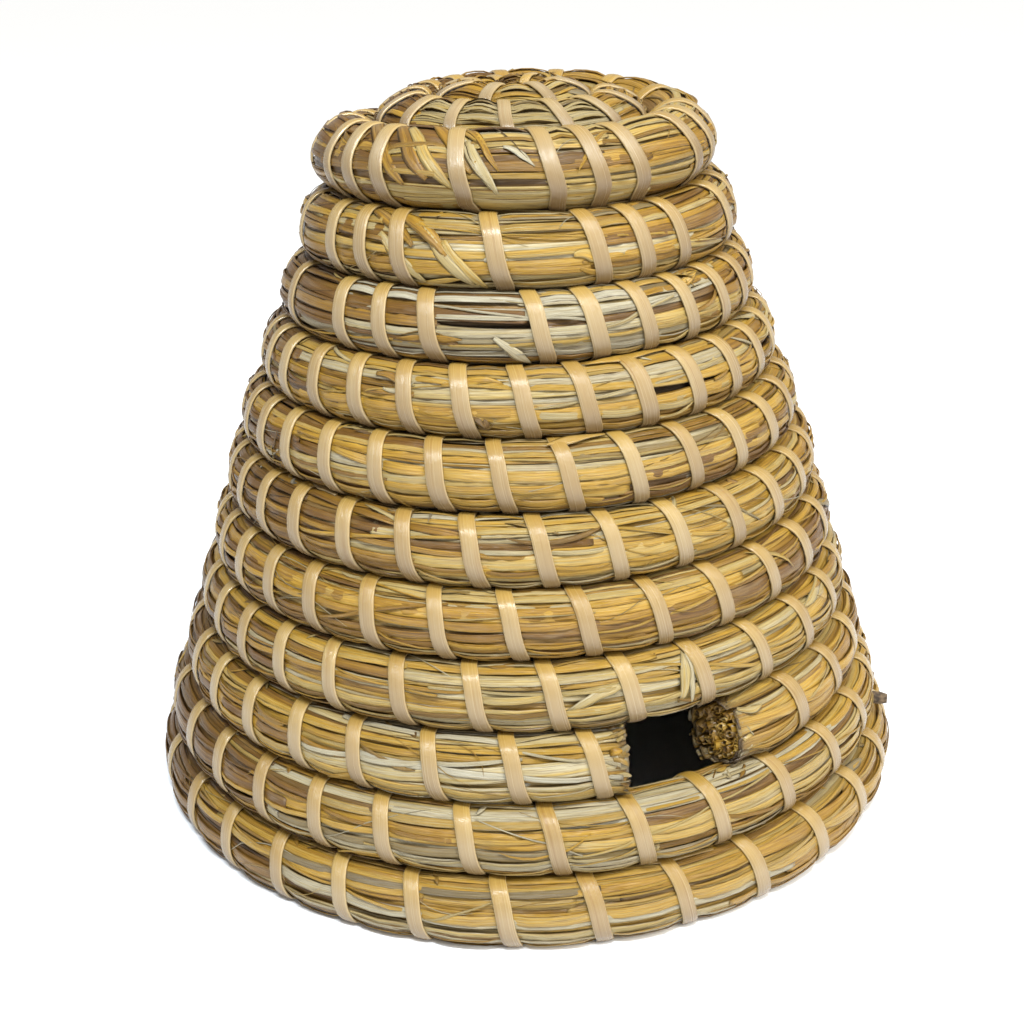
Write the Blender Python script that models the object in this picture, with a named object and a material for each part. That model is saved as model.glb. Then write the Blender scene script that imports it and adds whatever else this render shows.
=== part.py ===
"""Bee skep: one straw rope coiled into a dome and bound row to row with split cane."""
import bisect
import math
import random

import bpy
from mathutils import Vector

# Driving sizes, in metres and degrees
ROW_PITCH = 0.030
ROWS = 11
RIM_RADIUS = 0.1738
CREASE_GAP = 0.0024
# The wall's lean from upright, against rows counted down from the shoulder (0) to the foot (11)
WALL_LEAN = ((-2, 75), (-1, 78), (-0.5, 77), (0, 66), (0.3, 48), (0.5, 33), (0.8, 16), (1.5, 16),
             (2, 20.4), (3, 22), (4, 21.6), (5, 19), (6, 16.4), (7, 16.6), (8, 18.9), (9, 18.7),
             (10, 16), (11, 14.8))
TILT_REACH = 0.7
# 1 keeps the rows level across the front and lets them drop a row at the back, 0 drops them evenly
LEVEL = 0.9
# The rope starts thin in the crown's eye and is stoutest in the first row of the side:
# distance of its centre from the axis, against its thickness as a share of the later rows'
EYE_RADIUS = 0.0046
ROPE_GROWTH = ((EYE_RADIUS, 0), (0.0185, 0.80), (0.048, 0.84), (0.064, 1.08), (0.078, 1.08), (0.088, 1))
# The crown's rope is pressed flat by its stitches: the same distance, against its depth as a share
ROPE_FLATNESS = ((0.050, 0.56), (0.068, 1))
ROPE_START_RADIUS = 0.0072
EYE_PITCH = 0.017
# Corners of the rope's section, outward and along the wall, in half heights of a full row
OUTER_CORNERS = ((0.50, -1), (1.02, -0.46), (1.02, 0.46), (0.50, 1))
INNER_CORNERS = ((-0.92, 0.69), (-0.92, -0.69))
# Longest straight facet of the rope, as a share of a turn, in the crown's middle and elsewhere
EYE_ZONE = 0.060
FACET_MOST_EYE = 0.075
FACET_MOST = 0.042
# The entrance, one row high, cut out of this row between these two azimuths (front is -90)
DOOR_ROW = 9
DOOR_RIGHT = -57.5
DOOR_LEFT = -75.5
# The rope's tail thins out under the last row, to this share of a full row
TAIL_SHARE = 0.21
TAIL_BOUND = 0.42
# Cane binding
CANE_WIDTH = 0.007
CANE_THICK = 0.0010
CANE_CLEAR = 0.00045
CANE_SLANT = 0.007
CANE_BESIDE = 0.0011
STITCH_START_RADIUS = 0.0156
STITCH_FIRST = 0.0200
STITCH_SEED = 2
STITCH_LIMIT = 0.0295
STITCH_LIMIT_GROWS = 0.085
STITCH_WANDER = 0.25
LOOPS_PER_CANE = 24
CANE_BEND = 0.022
# Foot: flat pads between the bindings, which sit in notches so that the straw takes the weight
NOTCH_LIFT = 0.0019
NOTCH_RAMP = 0.0022
# Stick that carries the combs, right through two walls of one row
STICK_ROW = 10
STICK_RADIUS = 0.003
STICK_CLEAR = 0.0004
STICK_PROUD = 0.006
STICK_AZIMUTH = -14.5
# Two places between stitches: share of the spacing, shift, height in the rope, least spacing
STICK_PLACES = ((0.2165, -0.0006, -0.006, 0.0290), (0.6855, -0.0002, 0.002, 0.0278))
STICK_SIDES = 10

HALF_ROW = (ROW_PITCH - CREASE_GAP) / 2
WALL_STEP = 0.05
TURN = 2 * math.pi


def clear_scene():
    for obj in list(bpy.data.objects):
        bpy.data.objects.remove(obj, do_unlink=True)


def make_material(name, colour, roughness):
    mat = bpy.data.materials.new(name)
    mat.use_nodes = True
    shader = mat.node_tree.nodes["Principled BSDF"]
    shader.inputs["Base Color"].default_value = (*colour, 1)
    shader.inputs["Roughness"].default_value = roughness
    shader.inputs["Metallic"].default_value = 0
    mat.diffuse_color = (*colour, 1)
    return mat


def make_object(name, verts, faces, mat):
    mesh = bpy.data.meshes.new(name)
    mesh.from_pydata([tuple(v) for v in verts], [], faces)
    mesh.validate()
    mesh.materials.append(mat)
    obj = bpy.data.objects.new(name, mesh)
    bpy.context.scene.collection.objects.link(obj)
    return obj


def between(pairs, place):
    """Reads a list of (place, value) pairs, with straight lines between them."""
    place = min(max(place, pairs[0][0]), pairs[-1][0])
    for (start, value), (end, next_value) in zip(pairs, pairs[1:]):
        if place <= end:
            return value + (place - start) / (end - start) * (next_value - value)


# The wall: radius and height of the rope's centre line against the row coordinate
def lean_at(row):
    return math.radians(between(WALL_LEAN, row))


def growth_at(radius):
    return between(ROPE_GROWTH, radius)


def flatness_at(radius):
    return between(ROPE_FLATNESS, radius)


def tilt_at(row):
    """The rope's section turns over the shoulder more slowly than its path does."""
    return (lean_at(row - TILT_REACH) + lean_at(row + TILT_REACH)) / 2


def lay_wall():
    radius = RIM_RADIUS
    height = -HALF_ROW * OUTER_CORNERS[0][0] * math.sin(lean_at(ROWS))
    points = [(radius, height)]
    while radius > EYE_RADIUS:
        row = ROWS - (len(points) - 0.5) * WALL_STEP
        pitch = max(ROW_PITCH * growth_at(radius), EYE_PITCH)
        radius -= WALL_STEP * pitch * math.sin(lean_at(row))
        height += WALL_STEP * pitch * math.cos(lean_at(row))
        points.append((radius, height))
    return points


WALL = lay_wall()


def wall_point(row):
    place = min(max((ROWS - row) / WALL_STEP, 0), len(WALL) - 1.001)
    step = int(place)
    share = place - step
    a = WALL[step]
    b = WALL[step + 1]
    return a[0] + share * (b[0] - a[0]), a[1] + share * (b[1] - a[1])


# A place on the rope is counted in turns: half past each whole number is the front
def row_at(turns):
    return turns + LEVEL * math.sin(TURN * turns) / TURN


def azimuth_at(turns):
    return math.pi / 2 - TURN * turns


def turns_for(row_number, azimuth_deg):
    return row_number - 0.5 - (azimuth_deg + 90) / 360


def radius_at(turns):
    return wall_point(row_at(turns))[0]


def turns_per_metre(turns):
    return 1 / (TURN * radius_at(turns))


def turns_at_radius(radius):
    turns = 0.0
    while radius_at(turns) > radius:
        turns -= 0.002
    return turns


def turns_at_share(share):
    """Where the tail under the last row has thinned to this share of a full row."""
    turns = ROWS - 0.5
    while ROWS + 0.5 - row_at(turns) > share:
        turns += 0.002
    return turns


def rope_section(turns, offset=0.0, lift=0.0):
    """Six corners of the rope's section as radius and height, grown by offset."""
    row = row_at(turns)
    on_floor = turns > FOOT_START
    tall = ROWS + 0.5 - row if on_floor else 1.0
    middle = row - 0.5 + tall / 2 if on_floor else row
    radius, height = wall_point(middle)
    lean = tilt_at(middle)
    size = HALF_ROW * growth_at(radius)
    deep = size * min(flatness_at(radius), 0.45 + 0.55 * tall)
    high = size + (tall - 1) * ROW_PITCH / 2
    corners = []
    for out, along in OUTER_CORNERS + INNER_CORNERS:
        n = out * deep
        w = along * high
        r = radius + n * math.cos(lean) - w * math.sin(lean)
        z = height + n * math.sin(lean) + w * math.cos(lean)
        corners.append([r, z])
    if on_floor:
        corners[0][1] = lift
        corners[5][1] = lift
    return grow(corners, offset) if offset else corners


def grow(corners, offset):
    grown = []
    count = len(corners)
    for i, (r, z) in enumerate(corners):
        before = corners[i - 1]
        after = corners[(i + 1) % count]
        first = Vector((r - before[0], z - before[1])).normalized()
        second = Vector((after[0] - r, after[1] - z)).normalized()
        out_1 = Vector((first.y, -first.x))
        out_2 = Vector((second.y, -second.x))
        out = (out_1 + out_2).normalized()
        out *= offset / max(out.dot(out_1), 0.5)
        grown.append([r + out.x, z + out.y])
    return grown


def spin(corner, turns):
    angle = azimuth_at(turns)
    return Vector((corner[0] * math.cos(angle), corner[0] * math.sin(angle), corner[1]))


# Where the stitches sit: each one starts beside the foot of the stitch above it
def half_cane(turns):
    return CANE_WIDTH / 2 * turns_per_metre(turns)


def half_slant(turns):
    small = min(1.0, radius_at(turns) / wall_point(0.5)[0])
    return CANE_SLANT * small / 2 * turns_per_metre(turns)


def follower(turns):
    below = turns + 1
    crease = wall_point(row_at(turns) + 0.5)[0]
    drift = half_slant(turns) + half_slant(below) + half_cane(turns) + half_cane(below)
    return below - drift - CANE_BESIDE / (TURN * crease)


def lay_stitches(last):
    rng = random.Random(STITCH_SEED)
    places = [turns_at_radius(STITCH_START_RADIUS)]
    while places[-1] < places[0] + 0.86:
        places.append(places[-1] + STITCH_FIRST * turns_per_metre(places[-1]))
    patience = [1 + rng.uniform(-1, 1) * STITCH_WANDER for p in places]
    i = 0
    while follower(places[i]) < places[-1] + half_cane(places[-1]) * 4.4:
        i += 1
    while follower(places[i]) < last:
        here = follower(places[i])
        start = places[-1]
        gap = (here - start) / turns_per_metre(here)
        limit = (STITCH_LIMIT + STITCH_LIMIT_GROWS * radius_at(here)) * patience[i]
        extra = int(gap / limit)
        for j in range(extra):
            places.append(start + (here - start) * (j + 1) / (extra + 1))
            patience.append(1 + rng.uniform(-1, 1) * STITCH_WANDER)
        places.append(here)
        patience.append(patience[i])
        i += 1
    return places


def facet_half(turns):
    return half_cane(turns) + half_slant(turns) + 0.0005 * turns_per_metre(turns)


def find_foot_start():
    """Between two stitches, just past the tail's end, where the rope comes down to the floor."""
    clear = ROPE_END - 1 + 0.004 * turns_per_metre(ROPE_END)
    room = 2 * (facet_half(clear) + 2 * NOTCH_RAMP * turns_per_metre(clear))
    wide = [(a + b) / 2 for a, b in zip(STITCHES, STITCHES[1:]) if b - a > room]
    return min(middle for middle in wide if middle > clear)


ROPE_START = turns_at_radius(ROPE_START_RADIUS)
ROPE_END = turns_at_share(TAIL_SHARE)
STITCHES = lay_stitches(turns_at_share(TAIL_BOUND))
FOOT_START = find_foot_start()


def rings_for(start, end, stitches):
    """Ring places with each stitch inside one straight facet, and the notches of the foot."""
    rings = [(start, 0.0)]
    for i, place in enumerate(stitches):
        half = facet_half(place)
        before = stitches[i - 1] if i else start
        ramp = NOTCH_RAMP * turns_per_metre(place)
        on_floor = place > FOOT_START
        if on_floor and before < FOOT_START:
            rings.append((FOOT_START, 0.0))
            rings.append((FOOT_START + ramp, 0.0))
            before = FOOT_START + ramp - facet_half(before)
        if i == 0:
            free = place - half - start
        else:
            free = place - half - (before + facet_half(before))
        wide = free > 0.028 and radius_at(place) < EYE_ZONE
        if on_floor:
            previous = rings[-1]
            if previous[1] and free > 3 * ramp:
                rings.append((previous[0] + ramp, 0.0))
            if free > 3 * ramp:
                rings.append((place - half - ramp, 0.0))
            rings.append((place - half, NOTCH_LIFT))
            rings.append((place + half, NOTCH_LIFT))
        elif wide:
            if i:
                rings.append((before + facet_half(before), 0.0))
            rings.append((place - half, 0.0))
        elif i:
            rings.append(((before + facet_half(before) + place - half) / 2, 0.0))
    last = stitches[-1]
    if rings[-1][1]:
        rings.append((rings[-1][0] + NOTCH_RAMP * turns_per_metre(last), 0.0))
    rings.append((end, 0.0))
    assert all(a[0] < b[0] for a, b in zip(rings, rings[1:])), "rope rings out of order"
    return split_long_facets(rings, stitches)


def split_long_facets(rings, stitches):
    """Facets with no stitch on them are kept short, so that the rope stays round from above."""
    split = [rings[0]]
    for (before, low), (after, high) in zip(rings, rings[1:]):
        most = FACET_MOST_EYE if radius_at(after) < EYE_ZONE else FACET_MOST
        bare = bisect.bisect(stitches, before) == bisect.bisect(stitches, after)
        parts = math.ceil((after - before) / most) if bare else 1
        for i in range(1, parts + 1):
            share = i / parts
            split.append((before + (after - before) * share, low + (high - low) * share))
    return split


def build_rope(name, rings, mat):
    count = len(OUTER_CORNERS + INNER_CORNERS)
    verts = []
    faces = []
    for turns, lift in rings:
        verts += [spin(c, turns) for c in rope_section(turns, lift=lift)]
    for i in range(len(rings) - 1):
        for j in range(count):
            a = i * count + j
            b = i * count + (j + 1) % count
            c = b + count
            d = a + count
            faces += [(a, d, c), (a, c, b)]
    end = (len(rings) - 1) * count
    faces.append(tuple(range(count)))
    faces.append(tuple(end + j for j in reversed(range(count))))
    return make_object(name, verts, faces, mat)


def point_on_rope(rings, turns, corner, offset):
    """A point off one edge of the faceted rope, or partway across a face for a broken number."""
    if corner != int(corner):
        a = point_on_rope(rings, turns, int(corner), offset)
        return a.lerp(point_on_rope(rings, turns, int(corner) + 1, offset), corner - int(corner))
    places = [r[0] for r in rings]
    i = min(max(bisect.bisect_right(places, turns) - 1, 0), len(rings) - 2)
    share = (turns - places[i]) / (places[i + 1] - places[i])
    a = spin(rope_section(places[i], offset, rings[i][1])[corner], places[i])
    b = spin(rope_section(places[i + 1], offset, rings[i + 1][1])[corner], places[i + 1])
    return a.lerp(b, share)


def build_cane(name, rings, stitches, mat):
    """One unbroken strip with a crowned face: up the outside, over, down the inside, on to the next."""
    path = []
    for i, place in enumerate(stitches):
        slant = half_slant(place)
        for corner, share in ((0, -1), (1, -1 / 3), (2, 1 / 3), (3, 1), (4, 1)):
            path.append((corner, place + share * slant))
        if i + 1 < len(stitches):
            low = path[-1][1]
            after = stitches[i + 1] - half_slant(stitches[i + 1])
            if after - low > CANE_BEND:
                room = 2 * half_cane(low)
                bends = [turns for turns, _ in rings if low + room < turns < after - room]
                bends = bends or [(low + after) / 2]
                path += [(4 + (turns - low) / (after - low), turns) for turns in bends]
            path.append((5, after))
    verts = []
    for corner, turns in path:
        half = half_cane(turns)
        left = point_on_rope(rings, turns - half, corner, CANE_CLEAR)
        right = point_on_rope(rings, turns + half, corner, CANE_CLEAR)
        under = point_on_rope(rings, turns, corner, CANE_CLEAR)
        over = point_on_rope(rings, turns, corner, CANE_CLEAR + CANE_THICK)
        off = (over - under).normalized()
        sunk = max(((left + right) / 2 - under).dot(off), 0)
        verts += [left, right, over + off * sunk]
    end = (len(path) - 1) * 3
    faces = [(2, 1, 0), (end, end + 1, end + 2)]
    for a, b in ((0, 1), (1, 2), (2, 0)):
        for low in range(0, end, 3):
            faces += [(low + a, low + b, low + b + 3), (low + a, low + b + 3, low + a + 3)]
    obj = make_object(name, verts, faces, mat)
    gap = least_gap(verts, 3, 6) * 1000
    print(f"{name}: {len(stitches)} loops, least gap to itself {gap:.2f} mm")
    return obj


def least_gap(verts, per_ring, skip):
    """Least distance between points of the tube that lie a loop or more apart along it."""
    sections = [verts[i:i + per_ring] for i in range(0, len(verts), per_ring)]
    middles = [sum(s, Vector()) / per_ring for s in sections]
    reach = [max((v - m).length for v in s) for s, m in zip(sections, middles)]
    best = 1.0
    for i, first in enumerate(sections):
        for j in range(i + skip, len(sections)):
            if (middles[i] - middles[j]).length - reach[i] - reach[j] > best:
                continue
            for a in first:
                for b in sections[j]:
                    best = min(best, (a - b).length)
    return best


def rope_gap(rings):
    """Least distance from the rope's corners to its edges one turn on, read along the edges."""
    best = 1.0
    for turns, _ in rings:
        if turns + 1 > rings[-1][0]:
            break
        here = [point_on_rope(rings, turns, j, 0.0) for j in (0, 5)]
        for k in range(-8, 9):
            there = turns + 1 + k * 0.002
            if there < rings[-1][0]:
                for j in (3, 4):
                    over = point_on_rope(rings, there, j, 0.0)
                    best = min(best, min((over - p).length for p in here))
    return best


def stick_hole(azimuth):
    """The free place between two stitches of the stick's row nearest to an azimuth."""
    wanted = turns_for(STICK_ROW, azimuth)
    if wanted < STICK_ROW - 1:
        wanted += 1
    best = None
    for a, b in zip(STITCHES, STITCHES[1:]):
        for share, shift, up, least in STICK_PLACES:
            place = a + share * (b - a) + shift * turns_per_metre(a)
            room = (b - a) / turns_per_metre(a) > least
            if room and (best is None or abs(place - wanted) < abs(best[0] - wanted)):
                best = (place, up)
    place, up = best
    radius, height = wall_point(row_at(place))
    tilt = tilt_at(row_at(place))
    return spin((radius - up * math.sin(tilt), height + up * math.cos(tilt)), place)


def build_bar(name, start, end, radius, sides, mat, point=0.0):
    axis = (end - start).normalized()
    side = axis.cross(Vector((0, 0, 1))).normalized()
    up = side.cross(axis)
    verts = []
    faces = []
    rings = [(start, radius * (1 - point)), (start + axis * radius, radius)]
    rings += [(end - axis * radius, radius), (end, radius * (1 - point))]
    for middle, reach in rings:
        for k in range(sides):
            angle = TURN * k / sides
            verts.append(middle + reach * (math.cos(angle) * side + math.sin(angle) * up))
    for i in range(len(rings) - 1):
        for k in range(sides):
            a = i * sides + k
            b = i * sides + (k + 1) % sides
            faces.append((a, a + sides, b + sides, b))
    faces.append(tuple(range(sides)))
    faces.append(tuple(3 * sides + k for k in reversed(range(sides))))
    return make_object(name, verts, faces, mat)


def cut(target, tool):
    tool.hide_render = True
    tool.display_type = "WIRE"
    mod = target.modifiers.new("bore", "BOOLEAN")
    mod.operation = "DIFFERENCE"
    mod.solver = "EXACT"
    mod.object = tool


def centre_on_origin():
    """The origin is the middle of the footprint, on the floor."""
    shown = [o for o in bpy.data.objects if not o.hide_render]
    for axis in (0, 1):
        places = [v.co[axis] for o in shown for v in o.data.vertices]
        middle = (min(places) + max(places)) / 2
        for obj in bpy.data.objects:
            obj.location[axis] -= middle


def main():
    clear_scene()
    straw = make_material("straw", (0.60, 0.42, 0.17), 0.75)
    cane = make_material("cane", (0.74, 0.62, 0.42), 0.50)
    wood = make_material("stick_wood", (0.16, 0.11, 0.06), 0.80)

    # The rope in two lengths, parted by the entrance
    door_right = turns_for(DOOR_ROW, DOOR_RIGHT)
    door_left = turns_for(DOOR_ROW, DOOR_LEFT)
    keep = facet_half(door_left) + 0.002 * turns_per_metre(door_left)
    upper = [s for s in STITCHES if s < door_right - keep]
    lower = [s for s in STITCHES if s > door_left + keep]
    upper_rings = rings_for(ROPE_START, door_right, upper)
    lower_rings = rings_for(door_left, ROPE_END, lower)
    coil_upper = build_rope("straw_coil_upper", upper_rings, straw)
    coil_lower = build_rope("straw_coil_lower", lower_rings, straw)
    print(f"straw_coil_upper: least gap to itself {rope_gap(upper_rings) * 1000:.2f} mm")
    print(f"straw_coil_lower: least gap to itself {rope_gap(lower_rings) * 1000:.2f} mm")

    # The cane, in lengths of at most this many loops
    number = 0
    for rings, stitches in ((upper_rings, upper), (lower_rings, lower)):
        lengths = math.ceil(len(stitches) / LOOPS_PER_CANE)
        for i in range(lengths):
            first = len(stitches) * i // lengths
            last = len(stitches) * (i + 1) // lengths
            number += 1
            build_cane(f"cane_binding_{number:02d}", rings, stitches[first:last], cane)
    print(f"{len(STITCHES)} stitches laid, {number} lengths of cane")
    print("rope centre radius at rows", [round(radius_at(r - 0.5) * 1000, 1) for r in range(ROWS + 1)])

    # The comb stick and the bores it lies in
    near = stick_hole(STICK_AZIMUTH)
    far = stick_hole(math.degrees(math.atan2(near.y, near.x)) + 180)
    azimuths = [round(math.degrees(math.atan2(p.y, p.x)), 1) for p in (near, far)]
    print("stick through the wall at azimuths", azimuths)
    axis = (near - far).normalized()
    reach = HALF_ROW * OUTER_CORNERS[1][0] + STICK_PROUD
    build_bar("comb_stick", far - axis * reach, near + axis * reach, STICK_RADIUS, STICK_SIDES, wood, 0.25)
    tool = build_bar("stick_bore_cutter", far - axis * 2 * reach, near + axis * 2 * reach,
                     STICK_RADIUS + STICK_CLEAR, STICK_SIDES, wood)
    cut(coil_upper, tool)
    cut(coil_lower, tool)
    centre_on_origin()


main()
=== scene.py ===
# %% [markdown]
# # A bee skep, dressed
# A skep is a hive sewn from one long rope of straw. The maker feeds handfuls of stems through a ring
# to keep the rope even, coils it from the crown down, and binds each row to the one above with split
# cane. The packed solids give the places and sizes. This file adds what the eye sees: the stems of
# the rope, the grain of the cane, the cut ends in the entrance, and a plain bright studio.
#
# Stems could be curves with a bevel, or hair. Here every strip is worked out as an array of points
# and made into a mesh at once. That is quick for thousands of stems, and what one sees is real form.

# %% The packed solids
import math
import random

import bpy
import numpy as np
from mathutils import Matrix, Vector


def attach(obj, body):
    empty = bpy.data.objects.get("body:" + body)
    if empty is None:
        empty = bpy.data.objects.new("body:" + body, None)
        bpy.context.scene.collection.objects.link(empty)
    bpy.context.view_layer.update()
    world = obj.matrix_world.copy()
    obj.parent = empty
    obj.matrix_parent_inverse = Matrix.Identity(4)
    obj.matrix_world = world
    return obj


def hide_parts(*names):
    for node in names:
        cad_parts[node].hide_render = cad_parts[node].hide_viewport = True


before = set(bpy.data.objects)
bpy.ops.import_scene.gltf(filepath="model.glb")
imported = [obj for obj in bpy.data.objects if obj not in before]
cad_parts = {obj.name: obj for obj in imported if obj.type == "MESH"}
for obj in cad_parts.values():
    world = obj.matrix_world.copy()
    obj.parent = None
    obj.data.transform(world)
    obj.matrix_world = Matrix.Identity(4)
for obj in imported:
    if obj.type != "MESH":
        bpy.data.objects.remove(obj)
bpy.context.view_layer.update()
BODY = "root"
TURN = 2 * math.pi

# %% [markdown]
# ## Camera
# The camera stands in front, a little above the crown, and looks down at the skep. Its place, its
# turn and its focal length were fitted to the rows of the rope, so that each row comes out at the
# height that the photograph shows. A camera can be aimed at an empty, but that leaves out the slight
# roll of this one, so its three axes are written into its matrix.

# %% Camera
# Metres, radians, pixels and, for the sensor, millimetres
CAMERA_PLACE = Vector((-0.005275, -0.663232, 0.403228))
CAMERA_PITCH = 0.404174
CAMERA_ROLL = 0.0176934
FOCAL_PIXELS = 1456.614
PICTURE_PIXELS = 1024
SENSOR = 36.0
CLIP_START = 0.01


def place_camera():
    look = Vector((0, math.cos(CAMERA_PITCH), -math.sin(CAMERA_PITCH)))
    up = Vector((0, math.sin(CAMERA_PITCH), math.cos(CAMERA_PITCH)))
    right = Vector((1, 0, 0))
    turned_right = math.cos(CAMERA_ROLL) * right - math.sin(CAMERA_ROLL) * up
    turned_up = math.sin(CAMERA_ROLL) * right + math.cos(CAMERA_ROLL) * up
    data = bpy.data.cameras.new("camera")
    data.sensor_width = SENSOR
    data.lens = FOCAL_PIXELS * SENSOR / PICTURE_PIXELS
    data.clip_start = CLIP_START
    camera = bpy.data.objects.new("camera", data)
    axes = Matrix((turned_right, turned_up, -look)).transposed()
    camera.matrix_world = Matrix.Translation(CAMERA_PLACE) @ axes.to_4x4()
    bpy.context.scene.collection.objects.link(camera)
    bpy.context.scene.camera = camera
    return camera


camera = place_camera()
print("camera lens:", round(camera.data.lens, 2), "mm")

# %% [markdown]
# ## Studio
# The straw shines, so the light is soft: a pale sky all round, one broad and distant key light from
# the viewer's right, which leaves the left side in half shade, and a cool lamp high in front that
# draws a band of shine along each row. A picture of a sky would light it too, but plain lamps are
# easier to set against the photograph, one at a time.

# %% Floor, sky and lamps
FLOOR_COLOUR = (0.95, 0.965, 1.0)
FLOOR_ROUGHNESS = 0.7
FLOOR_HALF = 20.0
SKY_COLOUR = (1.0, 1.0, 1.0)
SKY_STRENGTH = 0.50
KEY_AZIMUTH = -32
KEY_ELEVATION = 42
KEY_DISTANCE = 3.0
KEY_POWER = 2.8
KEY_SOFTNESS = 40
KEY_COLOUR = (1.0, 0.965, 0.87)
SHINE_AZIMUTH = -93
SHINE_ELEVATION = 60
SHINE_DISTANCE = 1.5
SHINE_SIZE = (0.70, 0.20)
SHINE_POWER = 34.0
SHINE_COLOUR = (0.88, 0.95, 1.0)
LAMP_AIM = Vector((0, 0, 0.15))


def plain_material(name, colour, roughness):
    mat = bpy.data.materials.new(name)
    mat.use_nodes = True
    shader = mat.node_tree.nodes["Principled BSDF"]
    shader.inputs["Base Color"].default_value = (*colour, 1)
    shader.inputs["Roughness"].default_value = roughness
    return mat


def lay_floor():
    mesh = bpy.data.meshes.new("floor")
    corners = [(x * FLOOR_HALF, y * FLOOR_HALF, 0) for x, y in ((-1, -1), (1, -1), (1, 1), (-1, 1))]
    mesh.from_pydata(corners, [], [(0, 1, 2, 3)])
    mesh.materials.append(plain_material("floor_paint", FLOOR_COLOUR, FLOOR_ROUGHNESS))
    floor = bpy.data.objects.new("floor", mesh)
    bpy.context.scene.collection.objects.link(floor)


def hang_lamp(data, azimuth, elevation, distance, power, colour):
    a = math.radians(azimuth)
    e = math.radians(elevation)
    away = Vector((math.cos(a) * math.cos(e), math.sin(a) * math.cos(e), math.sin(e)))
    place = LAMP_AIM + distance * away
    data.energy = power
    data.color = colour
    lamp = bpy.data.objects.new(data.name, data)
    lamp.location = place
    lamp.rotation_mode = "QUATERNION"
    lamp.rotation_quaternion = (LAMP_AIM - place).to_track_quat("-Z", "Y")
    bpy.context.scene.collection.objects.link(lamp)


lay_floor()
key = bpy.data.lights.new("key_light", "SUN")
key.angle = math.radians(KEY_SOFTNESS)
hang_lamp(key, KEY_AZIMUTH, KEY_ELEVATION, KEY_DISTANCE, KEY_POWER, KEY_COLOUR)
shine = bpy.data.lights.new("shine_lamp", "AREA")
shine.shape = "RECTANGLE"
shine.size, shine.size_y = SHINE_SIZE
hang_lamp(shine, SHINE_AZIMUTH, SHINE_ELEVATION, SHINE_DISTANCE, SHINE_POWER, SHINE_COLOUR)
sky = bpy.data.worlds.new("sky")
sky.use_nodes = True
background = sky.node_tree.nodes["Background"]
background.inputs["Color"].default_value = (*SKY_COLOUR, 1)
background.inputs["Strength"].default_value = SKY_STRENGTH
bpy.context.scene.world = sky
bpy.context.scene.view_settings.view_transform = "Standard"
print("lamps:", key.name, shine.name)

# %% [markdown]
# ## The way the rope runs
# A place on the rope is counted in turns from the crown. Each turn lies one row lower, and the drop
# is made at the back, so that the rows look level from the front. A curve object could carry the
# rope, but a formula can be asked for any place at once, and it is the same formula as the solids',
# so that every stem and stitch lands on them.

# %% The wall's sizes
ROW_PITCH = 0.030
ROWS = 11
RIM_RADIUS = 0.1738
CREASE_GAP = 0.0024
# Row, and how far the wall leans from upright there, in degrees
WALL_LEAN = ((-2, 75), (-1, 78), (-0.5, 77), (0, 66), (0.3, 48), (0.5, 33), (0.8, 16), (1.5, 16),
             (2, 20.4), (3, 22), (4, 21.6), (5, 19), (6, 16.4), (7, 16.6), (8, 18.9), (9, 18.7),
             (10, 16), (11, 14.8))
TILT_REACH = 0.7
# How much of each row's drop is made at the back
LEVEL = 0.9
EYE_RADIUS = 0.0046
# Radius of the coil, and the rope's size there as a share of the full one
ROPE_GROWTH = ((EYE_RADIUS, 0), (0.0185, 0.80), (0.048, 0.84), (0.064, 1.08), (0.078, 1.08), (0.088, 1))
# Radius of the coil, and the rope's depth there as a share of its height
ROPE_FLATNESS = ((0.050, 0.56), (0.068, 1))
ROPE_START_RADIUS = 0.0072
EYE_PITCH = 0.017
DOOR_ROW = 9
DOOR_RIGHT = -57.5
DOOR_LEFT = -75.5
TAIL_SHARE = 0.21
TAIL_BOUND = 0.42
HALF_ROW = (ROW_PITCH - CREASE_GAP) / 2
FOOT_CORNER = 0.50
NOTCH_RAMP = 0.0022
WALL_STEP = 0.05
SEARCH_STEP = 0.002
# The solids are centred on their footprint, which moves the coil's own axis by this much
AXIS = np.array((-0.00023, 0.00119, 0.0))
print("rows:", ROWS, "rim radius:", RIM_RADIUS, "m")

# %% The wall's line
LEAN_ROWS = [row for row, lean in WALL_LEAN]
LEAN_ANGLES = [math.radians(lean) for row, lean in WALL_LEAN]
GROWTH_RADII = [radius for radius, share in ROPE_GROWTH]
GROWTH_SHARES = [share for radius, share in ROPE_GROWTH]
FLAT_RADII = [radius for radius, share in ROPE_FLATNESS]
FLAT_SHARES = [share for radius, share in ROPE_FLATNESS]


def lean_at(row):
    return np.interp(row, LEAN_ROWS, LEAN_ANGLES)


def growth_at(radius):
    return np.interp(radius, GROWTH_RADII, GROWTH_SHARES)


def flatness_at(radius):
    return np.interp(radius, FLAT_RADII, FLAT_SHARES)


def tilt_at(row):
    """The lean of the rope's own section, evened out over the rows beside it."""
    return (lean_at(row - TILT_REACH) + lean_at(row + TILT_REACH)) / 2


def lay_wall():
    """Radius and height of the rope's middle, from the crown's eye down to the foot."""
    radius = RIM_RADIUS
    height = -HALF_ROW * FOOT_CORNER * math.sin(lean_at(ROWS))
    points = [(radius, height)]
    while radius > EYE_RADIUS:
        row = ROWS - (len(points) - 0.5) * WALL_STEP
        pitch = max(ROW_PITCH * growth_at(radius), EYE_PITCH)
        radius -= WALL_STEP * pitch * math.sin(lean_at(row))
        height += WALL_STEP * pitch * math.cos(lean_at(row))
        points.append((radius, height))
    return np.array(points[::-1])


WALL = lay_wall()
WALL_ROWS = ROWS - WALL_STEP * np.arange(len(WALL))[::-1]


def wall_radius(row):
    return np.interp(row, WALL_ROWS, WALL[:, 0])


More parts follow.
